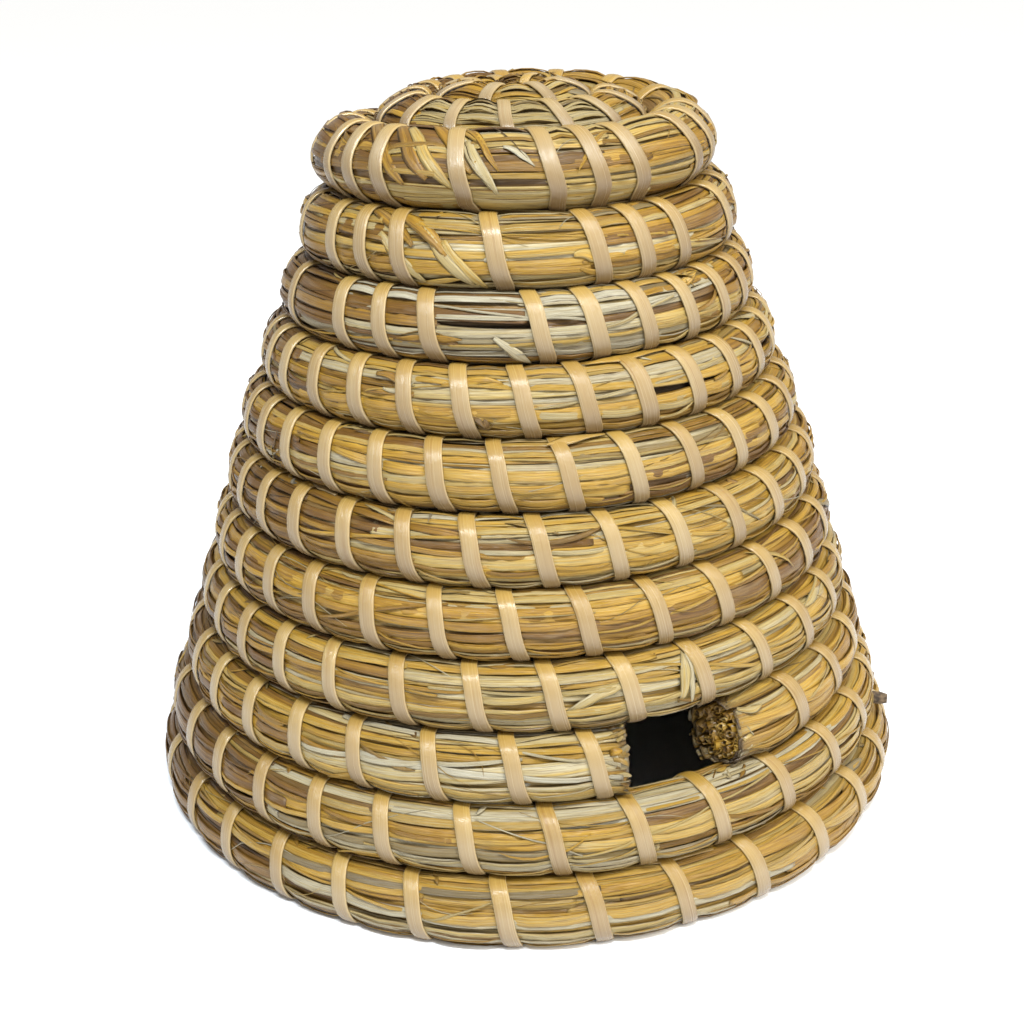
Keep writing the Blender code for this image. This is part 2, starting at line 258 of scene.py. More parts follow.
def wall_height(row):
    return np.interp(row, WALL_ROWS, WALL[:, 1])


def row_at(turns):
    """The row, with its share, that the rope has come down to."""
    return turns + LEVEL * np.sin(TURN * turns) / TURN


def turns_for(row_number, azimuth_deg):
    """The place on the rope that lies in this row, seen from this side. The front is at -90."""
    return row_number - 0.5 - (azimuth_deg + 90) / 360


def radius_at(turns):
    return wall_radius(row_at(turns))


def turns_per_metre(turns):
    return 1 / (TURN * radius_at(turns))


def turns_at_radius(radius):
    """The place near the crown's eye where the coil has shrunk to this radius."""
    turns = 0.0
    while radius_at(turns) > radius:
        turns -= SEARCH_STEP
    return turns


def turns_at_share(share):
    """The place in the last row where this share of the row is left above the floor."""
    turns = ROWS - 0.5
    while ROWS + 0.5 - row_at(turns) > share:
        turns += SEARCH_STEP
    return turns


print("wall points:", len(WALL), "rope from the crown at", round(float(wall_height(0)), 4), "m")

# %% [markdown]
# ## Where the stitches sit
# Each stitch of a new row starts beside the foot of the stitch above it, and where the row has grown
# too wide the maker adds one. An even pattern would be simpler, but it drifts against the row above
# and looks like a machine's. The same rule and seed as the solids' give the same places.

# %% Stitches
CANE_WIDTH = 0.007
CANE_SLANT = 0.007
CANE_BESIDE = 0.0011
STITCH_START_RADIUS = 0.0156
STITCH_FIRST = 0.0200
STITCH_FIRST_ROUND = 0.86
STITCH_ROOM = 4.4
STITCH_SEED = 2
STITCH_LIMIT = 0.0295
STITCH_LIMIT_GROWS = 0.085
STITCH_WANDER = 0.25
LOOPS_PER_CANE = 24
FACET_CLEAR = 0.0005
TAIL_CLEAR = 0.004


def half_cane(turns):
    return CANE_WIDTH / 2 * turns_per_metre(turns)


def half_slant(turns):
    """Half of a stitch's slant, in turns. It is smaller where the coil is tight."""
    small = np.minimum(1.0, radius_at(turns) / wall_radius(0.5))
    return CANE_SLANT * small / 2 * turns_per_metre(turns)


def follower(turns):
    """The place in the next row, beside the foot of the stitch at this place."""
    below = turns + 1
    crease = wall_radius(row_at(turns) + 0.5)
    drift = half_slant(turns) + half_slant(below) + half_cane(turns) + half_cane(below)
    return below - drift - CANE_BESIDE / (TURN * crease)


def lay_stitches(last):
    """Every stitch's place along the rope, from the eye to the tail."""
    rng = random.Random(STITCH_SEED)
    places = [turns_at_radius(STITCH_START_RADIUS)]
    while places[-1] < places[0] + STITCH_FIRST_ROUND:
        places.append(places[-1] + STITCH_FIRST * turns_per_metre(places[-1]))
    patience = [1 + rng.uniform(-1, 1) * STITCH_WANDER for p in places]
    i = 0
    while follower(places[i]) < places[-1] + half_cane(places[-1]) * STITCH_ROOM:
        i += 1
    while follower(places[i]) < last:
        here = follower(places[i])
        start = places[-1]
        gap = (here - start) / turns_per_metre(here)
        limit = (STITCH_LIMIT + STITCH_LIMIT_GROWS * radius_at(here)) * patience[i]
        extra = int(gap / limit)
        for j in range(extra):
            places.append(start + (here - start) * (j + 1) / (extra + 1))
            patience.append(1 + rng.uniform(-1, 1) * STITCH_WANDER)
        places.append(here)
        patience.append(patience[i])
        i += 1
    return [float(p) for p in places]


def facet_half(turns):
    """Half of the rope that a stitch covers, with a little room, in turns."""
    return half_cane(turns) + half_slant(turns) + FACET_CLEAR * turns_per_metre(turns)


def find_foot_start():
    """Between two stitches, just past the tail's end, where the rope comes down to the floor."""
    clear = ROPE_END - 1 + TAIL_CLEAR * turns_per_metre(ROPE_END)
    room = 2 * (facet_half(clear) + 2 * NOTCH_RAMP * turns_per_metre(clear))
    wide = [(a + b) / 2 for a, b in zip(STITCHES, STITCHES[1:]) if b - a > room]
    return min(middle for middle in wide if middle > clear)


ROPE_START = turns_at_radius(ROPE_START_RADIUS)
ROPE_END = turns_at_share(TAIL_SHARE)
STITCHES = lay_stitches(turns_at_share(TAIL_BOUND))
STITCH_ARRAY = np.array(STITCHES)
FOOT_START = find_foot_start()
DOOR_START = turns_for(DOOR_ROW, DOOR_RIGHT)
DOOR_END = turns_for(DOOR_ROW, DOOR_LEFT)
print("stitches:", len(STITCHES))

# %% [markdown]
# ## The rope's surface
# A real rope of straw is plump between its stitches and pulled in under them. The section is a
# rounded square, fuller on the outer side, and rows press flat against each other. It could be
# sculpted, but a function is better: it gives the point for a place along the rope, an angle round
# it and a height over it, and every stem and binding is laid with it.

# %% Points on the rope
OUT_REACH = 0.0132
IN_REACH = 0.0124
TALL_REACH = 0.0144
SECTION_SQUARE = 0.84
PINCH_DEPTH = 0.0003
BULGE_HEIGHT = 0.0010
PINCH_WIDTH = 0.0085
PRESS_WIDTH = 0.0058
PRESS_BLEND = 4
FLOOR_CLEAR = 0.0003
SMALLEST_SHARE = 0.12
OUTER_CORNER = math.radians(63)
LEAN_LIMIT = 1.2
TAIL_DEPTH = (0.45, 0.55)
OUTER_BLEND = 3
SIDE_COSINE = 0.2
PULL_UP = 0.3
OVER_UP = 0.6
SIZE_WANDER = 0.02
WALL_WANDER = 0.0005
# How fast each wave of the unevenness runs, and how its seed counts
WANDER_WAVES = ((11.3, 1.0), (23.9, 2.1), (47.7, 3.7))


def from_stitch(turns, angle):
    """Metres along the rope to the nearest stitch, which leans across the outer side."""
    lean = np.clip(angle / OUTER_CORNER, -LEAN_LIMIT, LEAN_LIMIT)
    place = turns - half_slant(turns) * lean
    after = np.clip(np.searchsorted(STITCH_ARRAY, place), 1, len(STITCH_ARRAY) - 1)
    near = np.minimum(np.abs(place - STITCH_ARRAY[after - 1]), np.abs(STITCH_ARRAY[after] - place))
    return near / turns_per_metre(turns)


def wander(turns, seed):
    """A slow, smooth unevenness along the rope, between -1 and 1."""
    return sum(np.sin(turns * pace + phase * seed) for pace, phase in WANDER_WAVES) / len(WANDER_WAVES)


def rope_point(turns, angle, over=0.0):
    """A point of the rope's surface, or over it. The surface is pulled in under each stitch."""
    turns = np.asarray(turns, dtype=float)
    angle = np.asarray(angle, dtype=float)
    row = row_at(turns)
    on_floor = turns > FOOT_START
    tall = np.where(on_floor, ROWS + 0.5 - row, 1.0)
    middle = np.where(on_floor, row - 0.5 + tall / 2, row)
    radius = wall_radius(middle)
    height = wall_height(middle)
    lean = tilt_at(middle)
    size = np.maximum(growth_at(radius), SMALLEST_SHARE) * (1 + SIZE_WANDER * wander(turns, 1.0))
    deep = size * np.minimum(flatness_at(radius), TAIL_DEPTH[0] + TAIL_DEPTH[1] * tall)
    high = np.maximum(size + (tall - 1), SMALLEST_SHARE)
    c = np.cos(angle)
    s = np.sin(angle)
    outer = np.clip(c * OUTER_BLEND + 0.5, 0, 1)
    facing = np.arctan2(s, np.maximum(c, SIDE_COSINE))
    near = from_stitch(turns, np.where(c > -SIDE_COSINE, facing, 0.0))
    pinch = np.exp(-((near / PINCH_WIDTH) ** 2)) * outer
    pull = (BULGE_HEIGHT * outer - (BULGE_HEIGHT + PINCH_DEPTH) * pinch) * size
    reach = (IN_REACH + (OUT_REACH - IN_REACH) * outer) * deep
    out = np.sign(c) * np.abs(c) ** SECTION_SQUARE * (reach + pull + over)
    up = np.sign(s) * np.abs(s) ** SECTION_SQUARE * (TALL_REACH * high + PULL_UP * pull + OVER_UP * over)
    radial = radius + out * np.cos(lean) - up * np.sin(lean) + WALL_WANDER * wander(turns, 4.0)
    z = height + out * np.sin(lean) + up * np.cos(lean)
    z = np.maximum(z, FLOOR_CLEAR)
    azimuth = math.pi / 2 - TURN * turns
    return np.stack([radial * np.cos(azimuth), radial * np.sin(azimuth), z], -1) + AXIS


def pressed(turns, angle):
    """1 under a stitch's cane, 0 clear of it."""
    facing = np.arctan2(np.sin(angle), np.cos(angle))
    near = from_stitch(turns, np.where(np.cos(angle) > 0, facing, 0.0))
    return np.exp(-((near / PRESS_WIDTH) ** 4)) * np.clip(np.cos(angle) * PRESS_BLEND + 1, 0, 1)


print("front of row 6:", rope_point(5.5, 0.0).round(4))

# %% [markdown]
# ## Tubes and strips as meshes
# Stems and bindings are all rows of rings. One helper turns an array of rings into a closed mesh,
# with smooth shading, a length along the piece and a few numbers for its colour. Adding vertices one
# by one would take minutes, so the mesh's lists are filled straight from the arrays.

# %% The faces between rings
def ring_faces(pieces, count, points):
    """Corners of every face, end to end, and how many each face has. Both ends are capped."""
    start = (np.arange(pieces) * count * points)[:, None, None]
    ring = (np.arange(count - 1) * points)[None, :, None]
    k = np.arange(points)[None, None, :]
    a = start + ring + k
    b = start + ring + (k + 1) % points
    quads = np.stack([a, b, b + points, a + points], -1).reshape(-1, 4)
    first = start[:, 0, 0][:, None] + np.arange(points)[None, ::-1]
    last = start[:, 0, 0][:, None] + (count - 1) * points + np.arange(points)[None, :]
    caps = np.concatenate([first, last])
    loops = np.concatenate([quads.ravel(), caps.ravel()])
    sizes = np.concatenate([np.full(len(quads), 4), np.full(len(caps), points)])
    return loops, sizes


print("faces of a strip of 9 rings with 6 corners:", len(ring_faces(1, 9, 6)[1]))

# %% Mesh from rings
def mesh_from_rings(name, rings, marks, along, across, mat):
    """rings: pieces x rings x points x 3, each piece a closed tube. marks: pieces x rings x 3."""
    pieces, count, points = rings.shape[:3]
    verts = rings.reshape(-1, 3)
    loops, sizes = ring_faces(pieces, count, points)
    mesh = bpy.data.meshes.new(name)
    mesh.vertices.add(len(verts))
    mesh.vertices.foreach_set("co", verts.ravel().astype(np.float32))
    mesh.loops.add(len(loops))
    mesh.loops.foreach_set("vertex_index", loops.astype(np.int32))
    mesh.polygons.add(len(sizes))
    starts = np.concatenate([[0], np.cumsum(sizes)[:-1]])
    mesh.polygons.foreach_set("loop_start", starts.astype(np.int32))
    mesh.update(calc_edges=True)
    uv = mesh.uv_layers.new(name="along")
    pairs = np.stack([np.repeat(along[..., None], points, -1), np.broadcast_to(across, rings.shape[:3])], -1)
    uv.data.foreach_set("uv", pairs.reshape(-1, 2)[loops].ravel().astype(np.float32))
    paint = mesh.color_attributes.new("mark", "FLOAT_COLOR", "POINT")
    colour = np.ones((len(verts), 4), dtype=np.float32)
    colour[:, :3] = np.repeat(marks[:, :, None, :], points, 2).reshape(-1, 3)
    paint.data.foreach_set("color", colour.ravel())
    mesh.polygons.foreach_set("use_smooth", np.ones(len(sizes), dtype=bool))
    mesh.materials.append(mat)
    mesh.validate()
    obj = bpy.data.objects.new(name, mesh)
    bpy.context.scene.collection.objects.link(obj)
    return obj


print("meshes before the pieces:", len(bpy.data.meshes))

# %% Strips that follow the surface
PROBE_TURNS = 1e-4
PROBE_ANGLE = 0.01
NO_LENGTH = 1e-12


def sweep(turns, angles, overs, half, thick, section, twist=0.0):
    """Rings of strips that run over the rope. Paths: strips x rings. Section: (across, up) pairs."""
    middle = rope_point(turns, angles, overs)
    ahead = rope_point(turns + PROBE_TURNS, angles, overs)
    behind = rope_point(turns - PROBE_TURNS, angles, overs)
    higher = rope_point(turns, angles + PROBE_ANGLE, overs)
    lower = rope_point(turns, angles - PROBE_ANGLE, overs)
    up = np.cross(higher - lower, ahead - behind)
    up /= np.linalg.norm(up, axis=-1, keepdims=True)
    ahead = np.gradient(middle, axis=1)
    ahead -= up * (ahead * up).sum(-1, keepdims=True)
    ahead /= np.linalg.norm(ahead, axis=-1, keepdims=True) + NO_LENGTH
    side = np.cross(ahead, up)
    turn = np.broadcast_to(twist, turns.shape)[..., None]
    side, up = side * np.cos(turn) + up * np.sin(turn), up * np.cos(turn) - side * np.sin(turn)
    half = np.broadcast_to(half, turns.shape)[..., None]
    thick = np.broadcast_to(thick, turns.shape)[..., None]
    rings = np.stack([middle + side * x * half + up * y * thick for x, y in section], 2)
    rings[..., 2] = np.maximum(rings[..., 2], FLOOR_CLEAR)
    gone = np.linalg.norm(np.diff(middle, axis=1, prepend=middle[:, :1]), axis=-1).cumsum(1)
    return rings, gone


trial = sweep(np.linspace(5, 5.5, 200)[None, :], np.zeros((1, 200)), 0.0, 0.001, 0.001, ((1, 0), (0, 1)))
print("half a turn of row 6, in metres:", round(float(trial[1][0, -1]), 3))

# %% [markdown]
# ## Finishes
# Straw and cane are fibres that run along the piece. So straw, core and cane share one node group: a
# grain stretched along the piece's length, with fine lines across it. A picture of straw would
# repeat, while noise on the piece's own length and width never does. Each finish gives the group its
# own scale, and uses what comes out for colour, roughness and bump. The bark has a noise of its own.

# %% Grain group
# Output, stretch along and across the piece, detail
GRAIN_OUTPUTS = (("Streak", 1.0, 1.0, 3.0), ("Blotch", 2.6, 0.22, 2.0), ("Fine", 4.0, 6.0, 1.0))
GRAIN_SEED_STEP = 37.0


def grain_group():
    group = bpy.data.node_groups.new("fibre_grain", "ShaderNodeTree")
    nodes = group.nodes
    links = group.links
    for name in ("Along Scale", "Across Scale", "Seed"):
        group.interface.new_socket(name=name, in_out="INPUT", socket_type="NodeSocketFloat")
    for output in GRAIN_OUTPUTS:
        group.interface.new_socket(name=output[0], in_out="OUTPUT", socket_type="NodeSocketFloat")

    def times(value, factor):
        node = nodes.new("ShaderNodeMath")
        node.operation = "MULTIPLY"
        links.new(value, node.inputs[0])
        if isinstance(factor, float):
            node.inputs[1].default_value = factor
        else:
            links.new(factor, node.inputs[1])
        return node.outputs[0]

    given = nodes.new("NodeGroupInput")
    result = nodes.new("NodeGroupOutput")
    uv = nodes.new("ShaderNodeUVMap")
    uv.uv_map = "along"
    split = nodes.new("ShaderNodeSeparateXYZ")
    links.new(uv.outputs["UV"], split.inputs[0])
    seed = times(given.outputs["Seed"], GRAIN_SEED_STEP)
    for name, along, across, detail in GRAIN_OUTPUTS:
        place_along = times(times(split.outputs["X"], given.outputs["Along Scale"]), along)
        place_across = times(times(split.outputs["Y"], given.outputs["Across Scale"]), across)
        joined = nodes.new("ShaderNodeCombineXYZ")
        links.new(place_along, joined.inputs[0])
        links.new(place_across, joined.inputs[1])
        links.new(seed, joined.inputs[2])
        noise = nodes.new("ShaderNodeTexNoise")
        noise.inputs["Scale"].default_value = 1.0
        noise.inputs["Detail"].default_value = detail
        links.new(joined.outputs[0], noise.inputs["Vector"])
        links.new(noise.outputs["Fac"], result.inputs[name])
    return group


GRAIN = grain_group()
print("grain group's outputs:", [output[0] for output in GRAIN_OUTPUTS])

# %% A finish, built up node by node
class Finish:
    """A Principled material whose nodes are added a few at a time."""

    def __init__(self, name):
        self.mat = bpy.data.materials.new(name)
        self.mat.use_nodes = True
        self.nodes = self.mat.node_tree.nodes
        self.links = self.mat.node_tree.links
        self.shader = self.nodes["Principled BSDF"]

    def feed(self, socket, value):
        """Gives a socket a number, a colour or what another node puts out."""
        if isinstance(value, (int, float)):
            socket.default_value = value
        elif isinstance(value, tuple):
            socket.default_value = (*value, 1)
        else:
            self.links.new(value, socket)

    def shade(self, name, value):
        self.feed(self.shader.inputs[name], value)

    def marks(self):
        """The three numbers that the mesh carries for its colour."""
        mark = self.nodes.new("ShaderNodeAttribute")
        mark.attribute_name = "mark"
        split = self.nodes.new("ShaderNodeSeparateColor")
        self.links.new(mark.outputs["Color"], split.inputs[0])
        return list(split.outputs)

    def grain(self, along, across, seed):
        """Streak, blotch and fine lines."""
        node = self.nodes.new("ShaderNodeGroup")
        node.node_tree = GRAIN
        node.inputs["Along Scale"].default_value = along
        node.inputs["Across Scale"].default_value = across
        self.links.new(seed, node.inputs["Seed"])
        return list(node.outputs)

    def ramp(self, value, stops):
        node = self.nodes.new("ShaderNodeValToRGB")
        while len(node.color_ramp.elements) < len(stops):
            node.color_ramp.elements.new(0.5)
        for element, (place, colour) in zip(node.color_ramp.elements, stops):
            element.position = place
            element.color = (*colour, 1)
        self.links.new(value, node.inputs[0])
        return node.outputs["Color"]

    def mix(self, kind, share, first, second):
        node = self.nodes.new("ShaderNodeMix")
        node.data_type = "RGBA"
        node.blend_type = kind
        # Of the node's many sockets, 6, 7 and output 2 are the ones for colours
        for number, value in ((0, share), (6, first), (7, second)):
            self.feed(node.inputs[number], value)
        return node.outputs[2]

    def math(self, operation, first, second=0.0):
        node = self.nodes.new("ShaderNodeMath")
        node.operation = operation
        for socket, value in zip(node.inputs, (first, second)):
            self.feed(socket, value)
        return node.outputs[0]

    def spread(self, value, low, high, to_low, to_high):
        """Stretches a span of values onto another."""
        node = self.nodes.new("ShaderNodeMapRange")
        for socket, number in zip(list(node.inputs)[1:5], (low, high, to_low, to_high)):
            socket.default_value = number
        self.links.new(value, node.inputs[0])
        return node.outputs[0]

    def across(self):
        """The place across the piece, from -1 at one edge to 1 at the other."""
        uv = self.nodes.new("ShaderNodeUVMap")
        uv.uv_map = "along"
        split = self.nodes.new("ShaderNodeSeparateXYZ")
        self.links.new(uv.outputs["UV"], split.inputs[0])
        return split.outputs["Y"]

    def bump(self, height, distance):
        node = self.nodes.new("ShaderNodeBump")
        node.inputs["Distance"].default_value = distance
        self.links.new(height, node.inputs["Height"])
        self.links.new(node.outputs["Normal"], self.shader.inputs["Normal"])


print("steps of a finish:", [name for name in vars(Finish) if not name.startswith("_")])

# %% Straw
# From whitish through golden to brown
STRAW_TONES = ((0.00, (0.375, 0.340, 0.250)), (0.18, (0.355, 0.300, 0.185)), (0.36, (0.345, 0.250, 0.085)),
               (0.54, (0.375, 0.216, 0.025)), (0.72, (0.270, 0.142, 0.014)), (1.00, (0.118, 0.054, 0.008)))
STRAW_GREY = (0.235, 0.170, 0.085)
STRAW_LINES = (0.30, 0.20, 0.10)
STRAW_EDGE = (0.26, 0.17, 0.09)
STRAW_AGED_AND_SHADE = (0.055, 0.032, 0.014)
STRAW_SHINE = 0.40
STRAW_GRAIN = (20.0, 3.4)
STRAW_ROUGHNESS = (0.24, 0.46)
STRAW_BUMP = 0.0007
STREAK_TONE = 0.64


def straw_finish():
    """mark: red is the stem's tone, green its seed, blue its darkness, from age and painted shade."""
    f = Finish("straw_stems")
    tone, seed, dark = f.marks()
    streak, blotch, fine = f.grain(*STRAW_GRAIN, seed)
    shifted = f.math("ADD", tone, f.math("MULTIPLY", f.math("SUBTRACT", streak, 0.5), STREAK_TONE))
    base = f.ramp(shifted, STRAW_TONES)
    # Weathered blotches, dark lines along the stem, and shade where one stem meets the next
    grey = f.mix("MIX", f.spread(blotch, 0.55, 0.75, 0.0, 0.40), base, STRAW_GREY)
    lined = f.mix("MULTIPLY", f.spread(fine, 0.44, 0.33, 0.0, 0.80), grey, STRAW_LINES)
    edge = f.spread(f.math("ABSOLUTE", f.across()), 0.86, 1.0, 0.0, 0.80)
    edged = f.mix("MULTIPLY", edge, lined, STRAW_EDGE)
    # The blue mark darkens towards this colour: aged stems, and painted shade in hollows and under stems
    f.shade("Base Color", f.mix("MIX", dark, edged, STRAW_AGED_AND_SHADE))
    f.shade("Roughness", f.spread(streak, 0.3, 0.7, *STRAW_ROUGHNESS))
    f.shade("Specular IOR Level", STRAW_SHINE)
    f.bump(f.math("ADD", f.math("MULTIPLY", streak, 0.7), f.math("MULTIPLY", fine, 0.3)), STRAW_BUMP)
    return f.mat


STRAW = straw_finish()
print("straw nodes:", len(STRAW.node_tree.nodes))

# %% The core's shade
# Painted shade: the core is drawn nearly black, for the shade deep between the stems
CORE_SHADE_TONES = ((0.3, (0.030, 0.018, 0.010)), (0.7, (0.12, 0.075, 0.035)))
CORE_GRAIN = (14.0, 16.0)
CORE_ROUGHNESS = 0.9
CORE_BUMP = 0.001


def core_finish():
    """mark: green is the seed."""
    f = Finish("rope_core_shade")
    streak = f.grain(*CORE_GRAIN, f.marks()[1])[0]
    f.shade("Base Color", f.ramp(streak, CORE_SHADE_TONES))
    f.shade("Roughness", CORE_ROUGHNESS)
    f.bump(streak, CORE_BUMP)
    return f.mat


CORE = core_finish()
print("core nodes:", len(CORE.node_tree.nodes))

# %% Split cane
# From the golden top of a stitch, through the pale middle, to its foot, darkened with painted shade
# where it goes into the crease
CANE_TONES_AND_SHADE = ((0.00, (0.365, 0.225, 0.042)), (0.28, (0.365, 0.248, 0.085)), (0.50, (0.345, 0.258, 0.140)),
              (0.75, (0.255, 0.182, 0.094)), (1.00, (0.19, 0.124, 0.058)))
CANE_OWN = (0.74, 0.66, 0.56)
CANE_LINES = (0.72, 0.58, 0.42)
CANE_STAIN = (0.62, 0.46, 0.32)
CANE_EDGE = (0.50, 0.38, 0.20)
CANE_GRAIN = (7.0, 9.0)
CANE_ROUGHNESS = (0.16, 0.30)
CANE_BUMP = 0.00022


def cane_finish():
    """mark: red is the stitch's own tone, green runs from the top crease down, blue is the seed."""
    f = Finish("split_cane")
    tone, down, seed = f.marks()
    streak, blotch, fine = f.grain(*CANE_GRAIN, seed)
    # Colour down the stitch, with painted shade at the foot in the crease
    base = f.ramp(down, CANE_TONES_AND_SHADE)
    # Each stitch's own shade, lines along the fibres, stains, and paler cut edges
    own = f.mix("MULTIPLY", f.spread(tone, 0.0, 1.0, 0.0, 0.60), base, CANE_OWN)
    lined = f.mix("MULTIPLY", f.spread(streak, 0.62, 0.40, 0.0, 0.30), own, CANE_LINES)
    stained = f.mix("MULTIPLY", f.spread(blotch, 0.58, 0.75, 0.0, 0.45), lined, CANE_STAIN)
    edge = f.spread(f.math("ABSOLUTE", f.across()), 0.86, 0.97, 0.0, 0.45)
    f.shade("Base Color", f.mix("MIX", edge, stained, CANE_EDGE))
    f.shade("Roughness", f.spread(streak, 0.3, 0.7, *CANE_ROUGHNESS))
    f.bump(f.math("ADD", f.math("MULTIPLY", streak, 0.5), f.math("MULTIPLY", fine, 0.5)), CANE_BUMP)
    return f.mat


CANE = cane_finish()
print("cane nodes:", len(CANE.node_tree.nodes))

# %% Bark, for the stick
BARK_TONES = ((0.35, (0.040, 0.026, 0.015)), (0.65, (0.15, 0.10, 0.055)))
BARK_SCALE = 420.0
BARK_DETAIL = 4.0
BARK_ROUGHNESS = 0.85
BARK_BUMP = 0.0006


def bark_finish():
    """For the stick's own solid, which has no lengthwise map: rough bark from noise in its own space."""
    f = Finish("stick_bark")
    place = f.nodes.new("ShaderNodeTexCoord")
    noise = f.nodes.new("ShaderNodeTexNoise")
    noise.inputs["Scale"].default_value = BARK_SCALE
    noise.inputs["Detail"].default_value = BARK_DETAIL
    f.links.new(place.outputs["Object"], noise.inputs["Vector"])
    f.shade("Base Color", f.ramp(noise.outputs["Fac"], BARK_TONES))
    f.shade("Roughness", BARK_ROUGHNESS)
    f.bump(noise.outputs["Fac"], BARK_BUMP)
    return f.mat


BARK = bark_finish()
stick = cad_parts["comb_stick"]
stick.data.materials.clear()
stick.data.materials.append(BARK)
print("finishes:", [m.name for m in (STRAW, CORE, CANE, BARK)])

# %% [markdown]
# ## The rope's core
# Between the outer stems one sees shade and the stems underneath. A slightly thinner rope inside
# the stems, coloured nearly black as painted shade, gives that depth, so that no gap shows through.
# The rope could be filled with stems to its middle, as the real one is, but they would never be seen.

# %% Core
CORE_UNDER = 0.0028
CORE_SHORT = 0.0060
CORE_POINTS = 18
CORE_STEP = 0.0070


def lay_core(name, start, end, node):
    """One closed tube along the rope, a little inside its surface."""
    places = [start]
    while places[-1] < end:
        places.append(places[-1] + CORE_STEP * float(turns_per_metre(places[-1])))
    places[-1] = end
    turns = np.array(places)[:, None]
    angle = np.linspace(0, TURN, CORE_POINTS, endpoint=False)[None, :]
    rings = rope_point(turns + 0 * angle, angle + 0 * turns, -CORE_UNDER)[None]
    along = np.cumsum(np.full((1, len(places)), CORE_STEP), 1)
    across = np.linspace(-1, 1, CORE_POINTS)[None, None, :]
    marks = np.full((1, len(places), 3), 0.5)
    obj = mesh_from_rings(name, rings, marks, along, across, CORE)
    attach(obj, BODY)
    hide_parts(node)
    return obj


core_end = DOOR_START - CORE_SHORT * float(turns_per_metre(DOOR_START))
core_start = DOOR_END + CORE_SHORT * float(turns_per_metre(DOOR_END))
core_upper = lay_core("rope_core_upper", ROPE_START, core_end, "straw_coil_upper")
core_lower = lay_core("rope_core_lower", core_start, ROPE_END, "straw_coil_lower")
print("core faces:", len(core_upper.data.polygons) + len(core_lower.data.polygons))

# %% [markdown]
# ## The stems
# The straw lies in long, nearly parallel stems, pressed flat by the stitches. Bump alone would leave
# the rope's outline smooth, so each stem is a strip of its own. They are laid in tracks round the
# rope, end to end with overlaps, each with its own width, tone, slight slope and height, so that some
# lie over others. Handfuls differ: some are golden, some pale.

# %% Stem recipe
STEM_SEED = 5
STEM_OVERLAP = 0.004
STEM_STAGGER = 0.05
STEM_LENGTHS = (0.40, 1.2)
LONGEST_SWEEP = 0.30
SHORTEST_SWEEP = 0.006
TUCKED = 0.80
TRACK_JITTER = 0.6
ANGLE_JITTER = 0.10
NARROW_BIAS = 1.6
# Neighbouring tracks lie a step apart in height, so that their strips don't cut through each other
TRACK_STEP = 0.55
HEIGHT_CHANCE = 0.45
# Tracks round the rope, width, height over the surface, thickness, mean length, slope, darkness.
# The darkness of the two lowest layers is painted shade, on stems that lie under the others
LAYERS = (
    (20, (0.0042, 0.0070), (-0.0026, -0.0018), 0.00055, 0.160, 0.06, 0.38),
    (24, (0.0032, 0.0074), (-0.0017, -0.0008), 0.00050, 0.200, 0.07, 0.15),
    (18, (0.0030, 0.0066), (-0.0003, 0.0005), 0.00045, 0.180, 0.08, 0.0),
    (11, (0.0014, 0.0038), (0.0008, 0.0011), 0.00040, 0.130, 0.14, 0.0),
    (6, (0.0005, 0.0016), (0.0012, 0.0014), 0.00034, 0.080, 0.30, 0.0),
)
print("tracks round the rope:", sum(layer[0] for layer in LAYERS))

# %% Golden and gloomy handfuls, with painted sheen, warm light and shade
NOISE_KNOTS = 4000
NOISE_START = 1000
MEAN_RADIUS = 0.13
BASE_TONE = 0.30
# How much, seed, waves per metre
TONE_WAVES = ((0.34, 3, 7.0), (0.22, 4, 19.0))
# Painted sheen: straw is drawn this much more golden away from the front, so the front, where the glare
# falls, is paler
FRONT_SHEEN_TONE = 0.30
# Painted shade: straw on the left, away from the key light, is drawn this much browner
WEST_SHADE_TONE = 0.58
# Painted warm light: straw on the right, where the warm key light falls, is drawn this much more golden
EAST_WARM_LIGHT_TONE = 0.18
LOW_TONE = 0.20
LOW_START = 8
LOW_REACH = 3
# Painted shade: the lowest rows are drawn this much darker
LOW_PAINTED_SHADE = 0.10
GLOOM_START = 9.4
# Handfuls more golden than the rest, or paler: row, azimuth and reach in degrees, how much.
# The paler ones near the front are painted sheen, where the glare falls
GOLDEN_AND_SHEEN = (
    (1, -122, 16, 0.26), (1, -104, 8, 0.20), (4, -84, 12, 0.10), (6, -140, 24, 0.30), (6, -58, 22, 0.20),
    (8, -135, 24, 0.32), (8, -80, 14, 0.24), (4, -50, 18, 0.18), (5, -38, 20, 0.22), (7, -34, 20, 0.22),
    (11, -58, 16, 0.22), (10, -30, 24, 0.20), (9, -30, 18, 0.20), (3, -36, 18, 0.16), (6, 20, 40, 0.25),
    (3, 110, 50, 0.25), (8, 80, 40, 0.25), (10, 160, 30, 0.25), (2, 10, 30, 0.20), (5, 170, 30, 0.2),
    (3, -92, 18, -0.26), (4, -102, 14, -0.14), (5, -92, 20, 0.06), (2, -78, 10, -0.10), (7, -72, 12, -0.10),
    (9, -108, 20, -0.18), (7, -20, 60, 0.08),
)
# Handfuls drawn darker, most of them on the left, away from the key light, as painted shade. The same columns
GLOOMY = (
    (1, -125, 26, 0.26), (0, -120, 40, 0.10), (2, -140, 20, 0.12), (10, -150, 26, 0.10),
    (4, -96, 22, 0.14), (5, -92, 22, 0.14), (3, -176, 40, 0.06), (7, -176, 40, 0.06),
)


